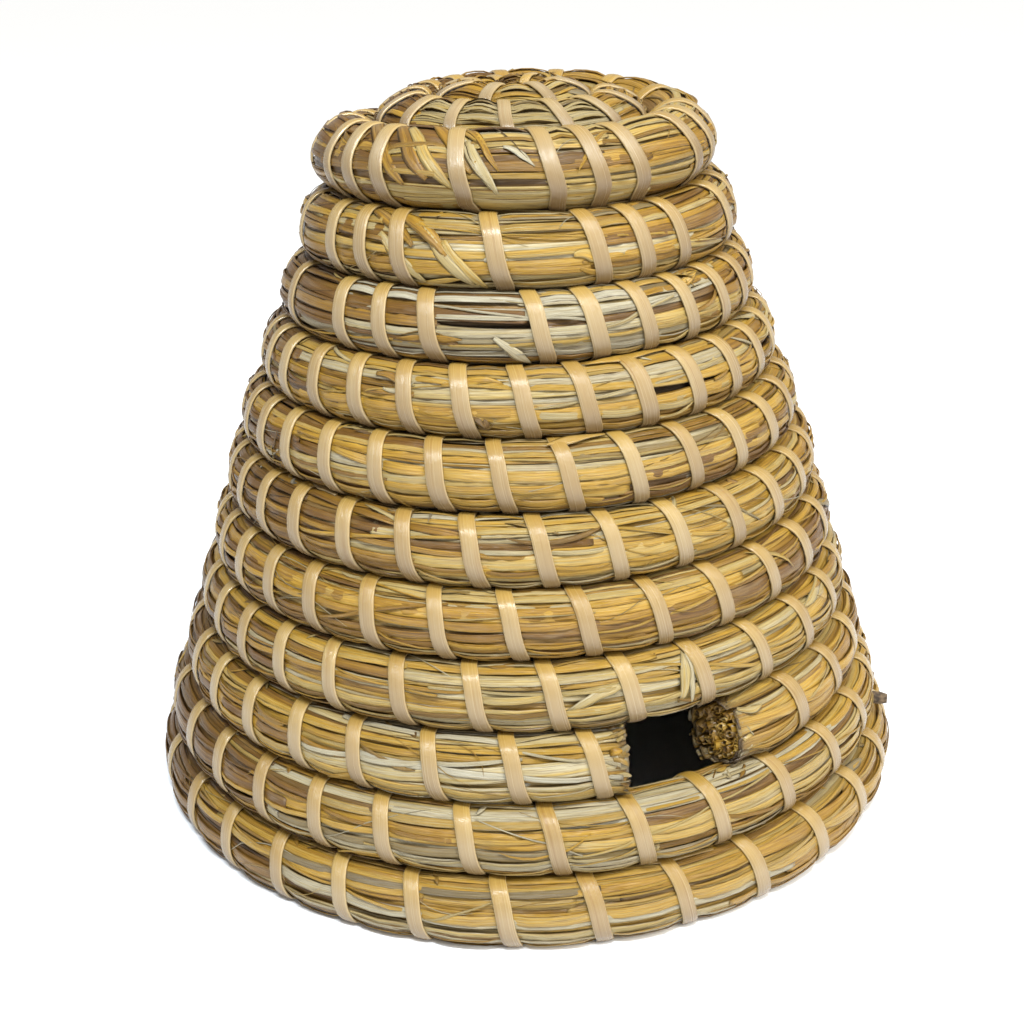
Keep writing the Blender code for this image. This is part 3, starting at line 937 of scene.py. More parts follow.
def smooth_noise(values, seed, scale):
    """Seeded smooth noise along one axis, 0 to 1."""
    rng = np.random.default_rng(seed)
    knots = rng.random(NOISE_KNOTS)
    x = np.asarray(values) * scale + NOISE_START
    low = np.floor(x).astype(int)
    share = x - low
    share = share * share * (3 - 2 * share)
    return knots[low % NOISE_KNOTS] * (1 - share) + knots[(low + 1) % NOISE_KNOTS] * share


def with_handfuls(value, turns, table):
    """Adds each handful of a table to a value, fading out along the rope."""
    for row, azimuth, reach, much in table:
        value = value + much * np.exp(-((turns - turns_for(row, azimuth)) * 360 / reach) ** 2)
    return value


def tone_with_painted_light(turns):
    """How golden the straw is here, with painted sheen in front and painted shade and warm light at the
    sides.
    """
    metres = np.asarray(turns) * TURN * MEAN_RADIUS
    tone = BASE_TONE
    for much, seed, scale in TONE_WAVES:
        tone = tone + much * (smooth_noise(metres, seed, scale) - 0.5)
    azimuth = math.pi / 2 - TURN * turns
    # Painted sheen: paler at the front
    tone = tone + FRONT_SHEEN_TONE * (0.5 + 0.5 * np.sin(azimuth))
    # Painted shade on the left, painted warm light on the right
    tone = tone + WEST_SHADE_TONE * np.maximum(-np.cos(azimuth), 0) + EAST_WARM_LIGHT_TONE * np.maximum(np.cos(azimuth), 0)
    tone = tone + LOW_TONE * np.clip((turns - LOW_START) / LOW_REACH, 0, 1)
    return with_handfuls(tone, turns, GOLDEN_AND_SHEEN)


def handful_shade(turns):
    """How much darker the straw is drawn here, mostly painted shade on the left and in the lowest rows."""
    return with_handfuls(LOW_PAINTED_SHADE * np.clip(turns - GLOOM_START, 0, 1), turns, GLOOMY)


print("tone in front, rows 1, 6 and 11:", tone_with_painted_light(np.array((0.5, 5.5, 10.5))).round(2))

# %% Where each stem lies
def under_cane(place, angle):
    """The nearest place along the rope that a stitch hides, at this angle round it."""
    i = int(np.clip(np.searchsorted(STITCH_ARRAY, place), 1, len(STITCHES) - 1))
    near = STITCHES[i] if STITCHES[i] - place < place - STITCHES[i - 1] else STITCHES[i - 1]
    lean = math.atan2(math.sin(angle), math.cos(angle)) / OUTER_CORNER
    return near + float(half_slant(near)) * max(-LEAN_LIMIT, min(LEAN_LIMIT, lean))


def chain_stems(rng, start, end, angle, mean_length):
    """Stems end to end along one track, most of them tucked under a stitch: their starts and ends."""
    stems = []
    place = start - rng.random() * STEM_STAGGER
    while place < end:
        here = max(place, start)
        length = mean_length * (STEM_LENGTHS[0] + STEM_LENGTHS[1] * rng.random())
        stop = place + min(length * float(turns_per_metre(here)), LONGEST_SWEEP)
        tucked = under_cane(stop, angle)
        if rng.random() < TUCKED and tucked - here > SHORTEST_SWEEP:
            stop = tucked
        stems.append((here, min(stop, end)))
        place = stop - STEM_OVERLAP * float(turns_per_metre(here))
    return [s for s in stems if s[1] - s[0] > SHORTEST_SWEEP]


def stem_set(start, end, layer, rng):
    """Lays every track of one layer. Returns one row per stem."""
    tracks, widths, heights, thick, mean_length, slope, painted_shade = layer
    rows = []
    for track in range(tracks):
        angle = TURN * (track + rng.random() * TRACK_JITTER) / tracks
        for a, b in chain_stems(rng, start, end, angle, mean_length):
            wide = widths[0] + (widths[1] - widths[0]) * rng.random() ** NARROW_BIAS
            raised = TRACK_STEP * (track % 2) + HEIGHT_CHANCE * rng.random()
            height = heights[0] + (heights[1] - heights[0]) * raised
            rows.append((a, b, angle + rng.normal() * ANGLE_JITTER, rng.normal() * slope, wide, height, thick,
                         painted_shade, rng.random(), rng.random(), rng.random()))
    return np.array(rows)


def all_stems(start, end, seed):
    """Every layer's stems on one run of the rope."""
    rng = np.random.default_rng(seed)
    return np.concatenate([stem_set(start, end, layer, rng) for layer in LAYERS])


stem_rows = {"upper": all_stems(ROPE_START, DOOR_START, STEM_SEED),
             "lower": all_stems(DOOR_END, ROPE_END, STEM_SEED + 1)}
print("stems:", {part: len(rows) for part, rows in stem_rows.items()})

# %% The rings of a stem
STEM_RINGS = 28
STEM_SECTION = np.array(((-1.0, -0.6), (-0.93, 0.60), (-0.55, 0.95), (0.55, 0.95), (0.93, 0.60), (1.0, -0.6)))
SQUARE_END = 0.012
ROPE_GIRTH = 0.0140
SMALLEST_STEM = 0.3
# Sways of a stem's way and width: how much, waves, and how its seed counts
WAY_SWAY = (0.035, 5, 20)
WIDTH_SWAY = (0.06, 7, 40)
END_WIDTH = 0.20
END_SINK = 0.0007
PRESS_LEVEL = 0.85
PRESS_SINK = 0.0005
PRESS_THIN = 0.5
SEED_SHIFT = 9
RAGGED = 0.0035
OBLIQUE = 0.0040
TONE_SPREAD = 0.40
PALE_STEMS = 0.06
PALE_SHARE = 0.6
# From this chance on a stem is this much darker
DARK_STEMS = (0.90, 0.25)
DARKEST_STEMS = (0.97, 0.55)
END_GLOOM = 0.30
CUT_GLOOM = 0.40
CUT_REACH = 0.0060


def stem_marks(turns, middle, ends, cuts, painted_shade, tone, seed, chance):
    """Tone, seed and darkness of each stem, ring by ring."""
    mixed = np.clip(tone_with_painted_light(middle) + TONE_SPREAD * (tone - 0.5), 0, 1)
    mixed = np.where(chance < PALE_STEMS, mixed * PALE_SHARE, mixed)
    dark = np.where(chance > DARK_STEMS[0], DARK_STEMS[1], 0.0)
    dark = np.where(chance > DARKEST_STEMS[0], DARKEST_STEMS[1], dark)
    # The lower layers' darkness is painted shade under the stems above them
    dark = dark + painted_shade + END_GLOOM * (1 - ends) + handful_shade(middle)
    for cut, way in cuts:
        far = np.abs(turns - cut) / turns_per_metre(cut)
        dark = dark + CUT_GLOOM * np.exp(-((far / CUT_REACH) ** 2))
    level = 0 * ends
    return np.stack([mixed + level, seed + level, np.clip(dark + level, 0, 1)], -1)


def bend_stems(rows, cuts):
    """Rings of each stem: pieces x rings x points x 3, with marks, lengths and widths."""
    columns = rows.T[:, :, None]
    start, end, angle, slope, wide, height, thick, painted_shade, tone, seed, chance = columns
    for cut, way in cuts:
        ragged = (RAGGED * seed - OBLIQUE * np.cos(angle)) * turns_per_metre(cut) * way
        start = np.where(start == cut, start + ragged, start)
        end = np.where(end == cut, end + ragged, end)
    s = np.concatenate([[0], np.linspace(SQUARE_END, 1 - SQUARE_END, STEM_RINGS - 2), [1]])[None, :]
    ends = np.clip(np.minimum(s, 1 - s) / SQUARE_END, 0, 1)
    turns = start + (end - start) * s
    size = np.maximum(growth_at(radius_at(turns)), SMALLEST_STEM)
    much, waves, own = WAY_SWAY
    path = angle + slope * (s - 0.5) * 2 + much * np.sin(s * waves + seed * own)
    much, waves, own = WIDTH_SWAY
    half = wide / 2 * (1 - END_WIDTH + END_WIDTH * ends) * size * (1 + much * np.sin(s * waves + seed * own))
    press = pressed(turns, path)
    lift = height * (1 - PRESS_LEVEL * press) - PRESS_SINK * press - (1 - ends) * END_SINK * tone
    thin = 1 - PRESS_THIN * press
    rings = []
    for x, y in STEM_SECTION:
        rings.append(rope_point(turns, path + x * half / ROPE_GIRTH, lift + y * thick * thin))
    along = s * (end - start) / turns_per_metre(start) + seed * SEED_SHIFT
    marks = stem_marks(turns, (start + end) / 2, ends, cuts, painted_shade, tone, seed, chance)
    return np.stack(rings, 2), marks, along, STEM_SECTION[:, 0][None, None, :]


print("points of one stem:", STEM_RINGS * len(STEM_SECTION))

# %% Lay the stems row by row
def lay_straw(part, cuts):
    """One piece for each turn of the rope. cuts: where the rope is cut, and which way that end looks."""
    rows = stem_rows[part]
    made = []
    turn_of = np.floor(rows[:, 0]).astype(int)
    first = turn_of.min()
    for turn in np.unique(turn_of):
        rings, marks, along, across = bend_stems(rows[turn_of == turn], cuts)
        obj = mesh_from_rings(f"straw_{part}_{turn - first + 1:02d}", rings, marks, along, across, STRAW)
        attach(obj, BODY)
        made.append(obj)
    return made


straw_pieces = lay_straw("upper", ((DOOR_START, 1),)) + lay_straw("lower", ((DOOR_END, -1),))
print("straw faces:", sum(len(o.data.polygons) for o in straw_pieces), "in", len(straw_pieces), "pieces")

# %% [markdown]
# ## The cane binding
# Split cane is a flat strip with a slightly crowned, shiny face and paler cut edges. Each stitch
# comes out of the crease below the row, climbs the outside on a slant, goes over the top and down
# the inside, and runs on to the next. A curve with a bevel would turn about its own line, so the
# strip is swept along that way with the rope's own surface as its up, and always lies flat.

# %% The way of a cane
OUTSIDE = np.radians(np.array((*range(-84, 97, 12), 112, 128)))
INSIDE = np.radians(np.array((*range(150, 239, 22), 256)))
INSIDE_END = math.radians(268)
FACE_SWEEP = math.radians(160)


def cane_path(places):
    """Turns and angles of one length of cane, how far down the outside, and which stitch."""
    path = []
    for i, place in enumerate(places):
        slant = float(half_slant(place))
        for a in OUTSIDE:
            share = max(-1.0, min(1.0, a / OUTER_CORNER))
            path.append((place + share * slant, a, max(0.0, min(1.0, 0.5 - a / FACE_SWEEP)), i))
        if i + 1 < len(places):
            here = place + slant
            there = places[i + 1] - float(half_slant(places[i + 1]))
            for a in INSIDE:
                share = (a - OUTSIDE[-1]) / (INSIDE_END - OUTSIDE[-1])
                path.append((here + (there - here) * share, a, 0.5, i))
    return np.array(path).T


print("rings of one stitch:", len(OUTSIDE) + len(INSIDE))

# %% Cane
CANE_RISE = 0.0009
INSIDE_RISE = 0.0012
CANE_SECTION = np.array(((-1.0, -0.2), (-0.97, 0.55), (-0.80, 0.82), (-0.3, 1.0), (0.3, 1.0), (0.80, 0.82),
                         (0.97, 0.55), (1.0, -0.2), (0.0, -0.4)))
CANE_THICK = 0.0010
CANE_SEED = 8
CANE_TAKES = (-0.08, 0.08)
CANE_SIZES = (0.6, 1.0)
INNER_BLEND = (0.3, 1.5)
DOOR_CLEAR = 0.002


def lay_cane(name, places, node, rng):
    """One length of cane through all its stitches, in place of its solid."""
    turns, angles, down, stitch = cane_path(places)
    stitch = stitch.astype(int)
    own = 1 + rng.uniform(*CANE_TAKES, len(places))
    size = np.clip(growth_at(radius_at(turns)), *CANE_SIZES)
    half = CANE_WIDTH / 2 * own[stitch] * size
    inner = np.clip(INNER_BLEND[0] - np.cos(angles) * INNER_BLEND[1], 0, 1)
    rise = CANE_RISE + (INSIDE_RISE - CANE_RISE) * inner
    rings, gone = sweep(turns[None], angles[None], rise[None], half[None], CANE_THICK, CANE_SECTION)
    tone = rng.random(len(places))[stitch]
    marks = np.stack([tone, down, np.full(len(turns), rng.random())], -1)[None]
    obj = mesh_from_rings(name, rings, marks, gone, CANE_SECTION[:, 0][None, None, :], CANE)
    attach(obj, BODY)
    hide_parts(node)
    return obj


def bind():
    """The whole binding: its lengths above the entrance, then those below."""
    rng = np.random.default_rng(CANE_SEED)
    keep = facet_half(DOOR_END) + DOOR_CLEAR * turns_per_metre(DOOR_END)
    above = [s for s in STITCHES if s < DOOR_START - keep]
    below = [s for s in STITCHES if s > DOOR_END + keep]
    number = 0
    made = []
    for stitches in (above, below):
        lengths = math.ceil(len(stitches) / LOOPS_PER_CANE)
        for i in range(lengths):
            number += 1
            places = stitches[len(stitches) * i // lengths:len(stitches) * (i + 1) // lengths]
            made.append(lay_cane(f"cane_strip_{number:02d}", places, f"cane_binding_{number:02d}", rng))
    return made


cane_strips = bind()
print("cane strips:", len(cane_strips), "faces:", sum(len(o.data.polygons) for o in cane_strips))

# %% [markdown]
# ## The cut ends in the entrance
# The entrance is a gap in one row, and there the rope shows its cut face: a bundle of hollow stems,
# some round, some crushed, drawn darker towards the hive with painted shade. One flat cap with a
# bump would look painted, so each stem is a short tube. They are spread like the seeds of a
# sunflower, which fills a round face evenly without a grid.

# %% One hollow stem
CUT_STEMS = 56
CUT_WIDE = 0.0118
CUT_TALL = 0.0128
CUT_SWIRL = 0.25
CUT_RADII = (0.0013, 0.0031)
CUT_THINNER = (1.1, 0.3)
CUT_CRUSHED = (0.45, 1.0)
CUT_LEAN = 0.16
CUT_PROUD = (-0.0012, 0.0020)
CUT_SLANT = 1.2
CUT_ROOT = 0.0080
CUT_HOLLOW = 0.0035
CUT_ROUGH = 0.07
CUT_JAG = 0.00035
CUT_TONES = (0.45, 0.4)
# Painted shade, darker towards the hive: darkness at the middle, metres for a full step of it, random spread
CUT_GLOOM = (0.16, 0.020, 0.15)
TUBE_CORNERS = 9
TUBE_WALL = 0.00042
TUBE_LENGTHS = (0.0, 0.009, 0.0095, 0.0125)
ROPE_PROBE = 1e-3
GOLDEN_ANGLE = math.radians(137.5)


def frame_at(turns):
    """The rope's middle, and its directions along, outward and up, at a place."""
    ahead = rope_point(turns + ROPE_PROBE, 0.0) - rope_point(turns - ROPE_PROBE, 0.0)
    ahead /= np.linalg.norm(ahead)
    out = rope_point(turns, 0.0)
    back = rope_point(turns, math.pi)
    up = rope_point(turns, math.pi / 2) - rope_point(turns, -math.pi / 2)
    up /= np.linalg.norm(up)
    middle = (out + back) / 2
    out = (out - back) / np.linalg.norm(out - back)
    return middle, ahead, out, up


def cut_tube(rng, i, way, middle, face, out, up):
    """Four rings of one stem, from its root over the torn end into the hollow, with their marks."""
    share = math.sqrt((i + 0.5) / CUT_STEMS)
    turn = i * GOLDEN_ANGLE + rng.normal() * CUT_SWIRL
    x = math.cos(turn) * share * CUT_WIDE
    y = math.sin(turn) * share * CUT_TALL
    radius = rng.uniform(*CUT_RADII) * (CUT_THINNER[0] - CUT_THINNER[1] * share)
    flat = rng.uniform(*CUT_CRUSHED)
    lean_x, lean_y = rng.normal(0, CUT_LEAN, 2)
    spin = rng.random() * math.pi
    proud = rng.uniform(*CUT_PROUD) - OBLIQUE * x / ROPE_GIRTH * CUT_SLANT
    place = middle + out * x + up * y
    axis = face + out * lean_x + up * lean_y
    axis /= np.linalg.norm(axis)
    first = np.cross(axis, up)
    first /= np.linalg.norm(first)
    second = np.cross(axis, first)
    wide = first * math.cos(spin) + second * math.sin(spin)
    narrow = second * math.cos(spin) - first * math.sin(spin)
    angles = np.arange(TUBE_CORNERS) / TUBE_CORNERS * TURN * way
    spread = np.cos(angles)[:, None] * wide + np.sin(angles)[:, None] * flat * narrow
    rough = 1 + rng.normal(0, CUT_ROUGH, TUBE_CORNERS)
    jag = rng.normal(0, CUT_JAG, TUBE_CORNERS)
    inner = radius - TUBE_WALL
    rings = []
    for depth, r, torn in ((-CUT_ROOT, radius, 0), (proud, radius, 1), (proud, inner, 1),
                           (proud - CUT_HOLLOW, inner, 0)):
        rings.append(place + axis * (depth + jag * torn)[:, None] + spread * (r * rough)[:, None])
    # Painted shade: darker towards the hive, and fully dark down in each hollow
    painted_shade = min(1.0, max(0.0, CUT_GLOOM[0] - x / CUT_GLOOM[1] + rng.normal() * CUT_GLOOM[2]))
    tone = CUT_TONES[0] + CUT_TONES[1] * rng.random()
    marks = [(tone, i / CUT_STEMS, dark) for dark in (painted_shade, painted_shade * 0.8, painted_shade * 0.9, 1.0)]
    return rings, marks


print("rope's middle at the entrance:", frame_at(DOOR_START)[0].round(4), frame_at(DOOR_END)[0].round(4))

# %% Both cut faces
CUT_SEED = 21
CUT_ACROSS = 0.6


def lay_cut_face(name, turns, way, seed):
    """way is 1 where the cut looks ahead along the rope, -1 where it looks back."""
    rng = np.random.default_rng(seed)
    middle, ahead, out, up = frame_at(turns)
    tubes = [cut_tube(rng, i, way, middle, ahead * way, out, up) for i in range(CUT_STEMS)]
    rings, marks = (np.array(part) for part in zip(*tubes))
    lengths = np.array([TUBE_LENGTHS] * CUT_STEMS)
    across = np.linspace(-CUT_ACROSS, CUT_ACROSS, TUBE_CORNERS)[None, None, :]
    obj = mesh_from_rings(name, rings, marks, lengths, across, STRAW)
    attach(obj, BODY)
    return obj


cut_faces = [lay_cut_face("cut_stems_right", DOOR_START, 1, CUT_SEED),
             lay_cut_face("cut_stems_left", DOOR_END, -1, CUT_SEED + 1)]
print("cut faces:", [o.name for o in cut_faces], "stems:", 2 * CUT_STEMS)

# %% [markdown]
# ## Leaves, threads and loose ends
# What the knife and the years leave on a skep: papery leaf from the stems' joints, hair-thin fibres
# that have sprung out, and chips of straw caught in the creases. A particle system could strew them,
# but the same sweep that lays the cane also keeps each of them on the rope, under the stitches.

# %% Loose pieces
LOOSE_SEED = 33
LOOSE_RINGS = 9
LOOSE_START = 0.3
LOOSE_END = 0.05
LOOSE_AT_EYE = 0.1
DOOR_FREE = 0.02
LOOSE_BEND = 0.35
LOOSE_TWIST = 0.25
LOOSE_CURL = 0.5
TIP_REACH = 0.2
TIP_WIDTH = 0.15
LOOSE_PRESS = 0.95
LOOSE_DARK = (0.75, 0.55)
FLAT_SECTION = np.array(((-1.0, 0.0), (-0.5, 0.7), (0.5, 0.7), (1.0, 0.0), (0.5, -0.6), (-0.5, -0.6)))
FLAT_ACROSS = FLAT_SECTION[:, 0][None, None, :] * 0.7
# Name, how many, angles round the rope, length, half width,
# thickness, turn from the rope's run, height in the middle, height at the tips, tone
LOOSE_KINDS = (
    ("leaf", 80, (-62, 66), (0.016, 0.040), (0.0010, 0.0024),
     0.00022, 0.40, 0.0011, 0.0020, (0.25, 0.75)),
    ("fibre", 400, (-70, 75), (0.016, 0.060), (0.00012, 0.00024),
     0.00018, 0.30, 0.0012, 0.0026, (0.1, 0.9)),
    ("chip", 330, (58, 84), (0.005, 0.014), (0.0005, 0.0014),
     0.00030, 0.9, 0.0004, 0.0028, (0.1, 0.9)),
    ("sprung_stem", 46, (-60, 70), (0.018, 0.05), (0.0006, 0.0012),
     0.00050, 0.45, 0.0010, 0.0030, (0.2, 0.8)),
)


def strew(rng, count):
    """Places along the rope, fewer where the coil is small and none at the entrance."""
    turns = rng.uniform(ROPE_START + LOOSE_START, ROPE_END - LOOSE_END, count)
    weight = radius_at(turns) / RIM_RADIUS
    turns = turns[rng.random(count) < weight + LOOSE_AT_EYE]
    return turns[(turns < DOOR_START - DOOR_FREE) | (turns > DOOR_END + DOOR_FREE)][:, None]


def lay_loose(kind, count, angles, lengths, halves, thick, skew, middle_over, tip_over, tones, seed):
    """One kind of loose piece, strewn over the whole rope."""
    rng = np.random.default_rng(seed)
    turns = strew(rng, count)
    each = turns.shape
    angle = np.radians(rng.uniform(*angles, each))
    length = rng.uniform(*lengths, each)
    half = rng.uniform(*halves, each)
    way = rng.normal(0, skew, each)
    bend = rng.normal(0, LOOSE_BEND, each)
    s = np.linspace(0, 1, LOOSE_RINGS)[None, :]
    away = (s - 0.5) * length
    heading = way + bend * (s - 0.5)
    path_turns = turns + away * np.cos(heading) * turns_per_metre(turns)
    path_angle = angle + away * np.sin(heading) / ROPE_GIRTH
    tip = rng.random(each)
    rise = middle_over + (tip_over * tip - middle_over) * np.abs(2 * s - 1) ** 2 * (s > 0.5)
    rise = rise * (1 - LOOSE_PRESS * pressed(path_turns, path_angle))
    tail = np.clip(np.minimum(s, 1 - s) / TIP_REACH, TIP_WIDTH, 1)
    twist = rng.normal(0, LOOSE_TWIST, each) + rng.normal(0, LOOSE_CURL, each) * (s - 0.5)
    rings, gone = sweep(path_turns, path_angle, rise, half * tail, thick, FLAT_SECTION, twist)
    tone = rng.uniform(*tones, each)
    own = rng.random(each)
    dark = np.where(rng.random(each) > LOOSE_DARK[0], LOOSE_DARK[1], 0.0)
    marks = np.stack([tone + 0 * s, own + 0 * s, dark + 0 * s], -1)
    obj = mesh_from_rings(f"loose_{kind}", rings, marks, gone, FLAT_ACROSS, STRAW)
    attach(obj, BODY)
    return obj


loose = [lay_loose(*kind, LOOSE_SEED + i) for i, kind in enumerate(LOOSE_KINDS)]
print("loose pieces:", {o.name: len(o.data.polygons) for o in loose})

# %% [markdown]
# ## Details at their own places
# Some things belong to this skep alone: a leaf folded over itself above the entrance, tails of cane
# that come out of a crease, torn and broken stems, and handfuls that run aslant where the rope was
# begun. Chance would never put them there, so each has a row in a table: a short strip from one
# place on the rope to another.

# %% How a detail is laid
DETAIL_RINGS = 14
DETAIL_THICK = 0.00028
DETAIL_PRESS = 0.8
DETAIL_SEED_STEP = 0.137
START_WIDTH = 0.3
END_TAPER = 2.5
BLUNT = 0.12


def lay_details(name, table, mat, slot, blunt=BLUNT):
    """One object of flat strips, one to each row of the table."""
    columns = np.array(table, dtype=float).T[:, :, None]
    row, azimuth, angle, azimuth_end, angle_end, half, low, high, bow, twist, tone, dark = columns
    s = np.linspace(0, 1, DETAIL_RINGS)[None, :]
    turns = turns_for(row, azimuth + (azimuth_end - azimuth) * s)
    path = np.radians(angle + (angle_end - angle) * s + bow * np.sin(math.pi * s))
    rise = low + (high - low) * s * s
    rise = rise * (1 - DETAIL_PRESS * pressed(turns, path)) if slot == "straw" else rise
    tail = np.clip(np.minimum(s + START_WIDTH + blunt, (1 - s) * END_TAPER + blunt), 0, 1)
    rings, gone = sweep(turns, path, rise, half * tail, DETAIL_THICK, FLAT_SECTION, twist * s)
    seed = np.arange(len(table))[:, None] * DETAIL_SEED_STEP % 1 + 0 * s
    marks = np.stack([tone + 0 * s, seed, dark + 0 * s], -1)
    obj = mesh_from_rings(name, rings, marks, gone, FLAT_ACROSS, mat)
    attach(obj, BODY)
    return obj


print("points of one detail:", DETAIL_RINGS * len(FLAT_SECTION))

# %% Cane tails and torn straw
# Row, azimuth and angle at the start, azimuth and angle at the end, half width, height over the straw
# at the start and at the end, bow in degrees, twist, tone, darkness
CANE_TAILS = (
    (4, -54.4, 66, -76.5, 55, 0.0029, 0.0018, 0.0016, 4, 0.2, 0.6, 0.3),
    (5, -73.6, 69, -85.8, 50, 0.0028, 0.0018, 0.0018, 3, 0.3, 0.4, 0.7),
    (11, -63.4, 67, -75.2, 74, 0.0024, 0.0016, 0.0016, 3, 0.1, 0.5, 0.5),
    (6, -128.0, 66, -135.5, 74, 0.0024, 0.0016, 0.0022, 3, 0.2, 0.5, 0.2),
)
TORN_STRAW = (
    (8, -66.4, -30, -64.7, 46, 0.0026, 0.0012, 0.0030, -9, 0.5, 0.30, 0.05),
    (8, -61.9, -28, -64.2, 44, 0.0030, 0.0014, 0.0034, 9, -0.6, 0.42, 0.0),
    (8, -64.6, -34, -64.3, 40, 0.0018, 0.0022, 0.0042, 3, 0.2, 0.18, 0.0),
    (8, -67.0, -22, -61.4, -30, 0.0010, 0.0020, 0.0026, -6, 0.3, 0.70, 0.45),
    (3, -95.8, -16, -87.9, -74, 0.0024, 0.0012, 0.0016, 5, 0.4, 0.12, 0.0),
    (4, -100.4, -27, -97.2, -41, 0.0013, 0.0008, 0.0030, 6, 0.8, 0.80, 0.60),
    (4, -98.9, -42, -95.4, -30, 0.0010, 0.0014, 0.0034, -8, -0.9, 0.60, 0.75),
    (4, -97.6, -28, -96.6, -46, 0.0014, 0.0010, 0.0024, 4, 0.5, 0.85, 0.50),
    (2, -98.4, -14, -95.1, -34, 0.0016, 0.0012, 0.0036, 10, 0.9, 0.05, 0.0),
    (2, -96.0, -12, -94.6, -30, 0.0010, 0.0012, 0.0032, -7, -0.7, 0.15, 0.2),
    (2, -77.6, -10, -70.2, -27, 0.0026, 0.0010, 0.0028, 8, 0.3, 0.45, 0.0),
    (2, -76.2, -30, -68.0, -46, 0.0020, 0.0010, 0.0030, -5, -0.4, 0.62, 0.1),
    (2, -71.5, -12, -69.0, -42, 0.0012, 0.0012, 0.0036, 9, 0.8, 0.25, 0.2),
    (3, -53.0, 74, -46.2, 34, 0.0028, 0.0010, 0.0040, 10, 0.7, 0.52, 0.0),
    (3, -51.2, 44, -44.8, 40, 0.0022, 0.0010, 0.0036, -9, -0.5, 0.58, 0.0),
    (3, -48.6, 68, -50.4, 28, 0.0016, 0.0012, 0.0040, 8, 0.9, 0.45, 0.3),
    (1, -101.5, 70, -87.7, -12, 0.0003, 0.0012, 0.0014, -4, 0.1, 0.90, 0.85),
    (1, -94.0, 2, -86.0, -22, 0.0018, 0.0010, 0.0014, 6, 0.3, 0.10, 0.0),
    (4, -121.0, 24, -113.5, 8, 0.0022, 0.0010, 0.0026, 8, 0.4, 0.80, 0.15),
    (4, -118.6, 4, -112.0, 18, 0.0014, 0.0012, 0.0030, -7, -0.6, 0.20, 0.0),
    (9, -57.0, 62, -53.6, 76, 0.0009, 0.0014, 0.0040, 9, 0.6, 0.70, 0.80),
    (9, -56.2, 40, -52.4, 30, 0.0020, 0.0012, 0.0022, -6, 0.4, 0.35, 0.1),
)
details = [lay_details("cane_tails", CANE_TAILS, CANE, "cane"),
           lay_details("torn_straw", TORN_STRAW, STRAW, "straw")]
print("cane tails:", len(CANE_TAILS), "torn stems:", len(TORN_STRAW))

# %% Slanted handfuls
BLUNT_SLANTED = 0.35
# Stems that run down and to the right, in the first two rows. The same columns
SLANTED = (
    (1, -118.0, 58, -102.0, -30, 0.0030, 0.0012, 0.0013, 3, 0.1, 0.74, 0.10),
    (1, -115.0, 56, -101.0, -16, 0.0018, 0.0014, 0.0014, 3, 0.0, 0.62, 0.0),
    (1, -124.0, 34, -107.0, -58, 0.0026, 0.0012, 0.0013, 4, -0.1, 0.40, 0.05),
    (1, -130.0, 46, -114.0, -44, 0.0032, 0.0011, 0.0012, 3, 0.1, 0.82, 0.10),
    (1, -112.0, 62, -98.5, 0, 0.0022, 0.0013, 0.0014, 3, -0.1, 0.52, 0.05),
    (1, -136.0, 24, -121.0, -54, 0.0028, 0.0011, 0.0012, 4, 0.1, 0.70, 0.15),
    (1, -109.0, 34, -97.0, -50, 0.0024, 0.0012, 0.0013, 5, 0.1, 0.30, 0.0),
    (1, -106.0, 44, -95.0, -30, 0.0014, 0.0014, 0.0014, 4, 0.0, 0.70, 0.10),
    (1, -104.5, 14, -95.5, -64, 0.0022, 0.0013, 0.0014, 4, -0.1, 0.24, 0.0),
    (1, -143.0, 54, -128.0, -26, 0.0030, 0.0011, 0.0012, 3, 0.1, 0.86, 0.15),
    (2, -122.0, 52, -107.0, -8, 0.0028, 0.0012, 0.0013, 3, 0.1, 0.68, 0.10),
    (2, -114.0, 24, -101.0, -58, 0.0024, 0.0012, 0.0013, 4, -0.1, 0.30, 0.05),
    (2, -132.0, 56, -116.0, 0, 0.0026, 0.0011, 0.0012, 3, 0.1, 0.76, 0.10),
    (2, -108.0, 6, -98.0, -66, 0.0022, 0.0012, 0.0013, 4, 0.0, 0.42, 0.0),
    (2, -126.0, 10, -113.0, -56, 0.0024, 0.0011, 0.0012, 4, 0.1, 0.36, 0.05),
)
details.append(lay_details("slanted_straw", SLANTED, STRAW, "straw", BLUNT_SLANTED))
print("slanted stems:", len(SLANTED))

# %% Heaps in the creases, and the frayed end
DETAIL_SEED = 51
# Heaps of broken bits: row, azimuth, angle, how many, spread in degrees, darkness
HEAPS = (
    (5, -145, -34, 8, 1.6, 0.8), (6, -140, 70, 7, 2.2, 0.7), (5, -119, -52, 8, 2.2, 0.8),
    (6, -113, 66, 9, 2.4, 0.7), (3, -47, 44, 7, 1.6, 0.3), (7, -100, 72, 5, 3.0, 0.4),
    (10, -60, 70, 6, 3.0, 0.5), (-0.5, -105, 50, 9, 9.0, 0.9), (-1, -70, 60, 8, 14.0, 0.9),
)
HEAP_WIDTHS = (0.0004, 0.0013)
HEAP_LOW = 0.0008
HEAP_HIGH = (0.0012, 0.0032)
HEAP_TALL = 8
HEAP_ANY_WAY = 20
HEAP_BOW = 6
HEAP_TWIST = 0.6
FRAYED = 16
FRAYED_ANGLES = (-75, 80)
FRAYED_SPREAD = 0.4
FRAYED_ANY_WAY = 9
FRAYED_BOW = 5
FRAYED_TWIST = 0.5
FRAYED_TONES = (0.3, 0.8)
FRAYED_GLOOM = (0.1, 0.6)
FRAYED_BACK = 1.8
FRAYED_AHEAD = 0.1
FRAYED_WIDTHS = (0.0007, 0.0017)
FRAYED_LOW = 0.0002
FRAYED_HIGH = (0.0004, 0.0026)
BLUNT_FRAYED = 0.55


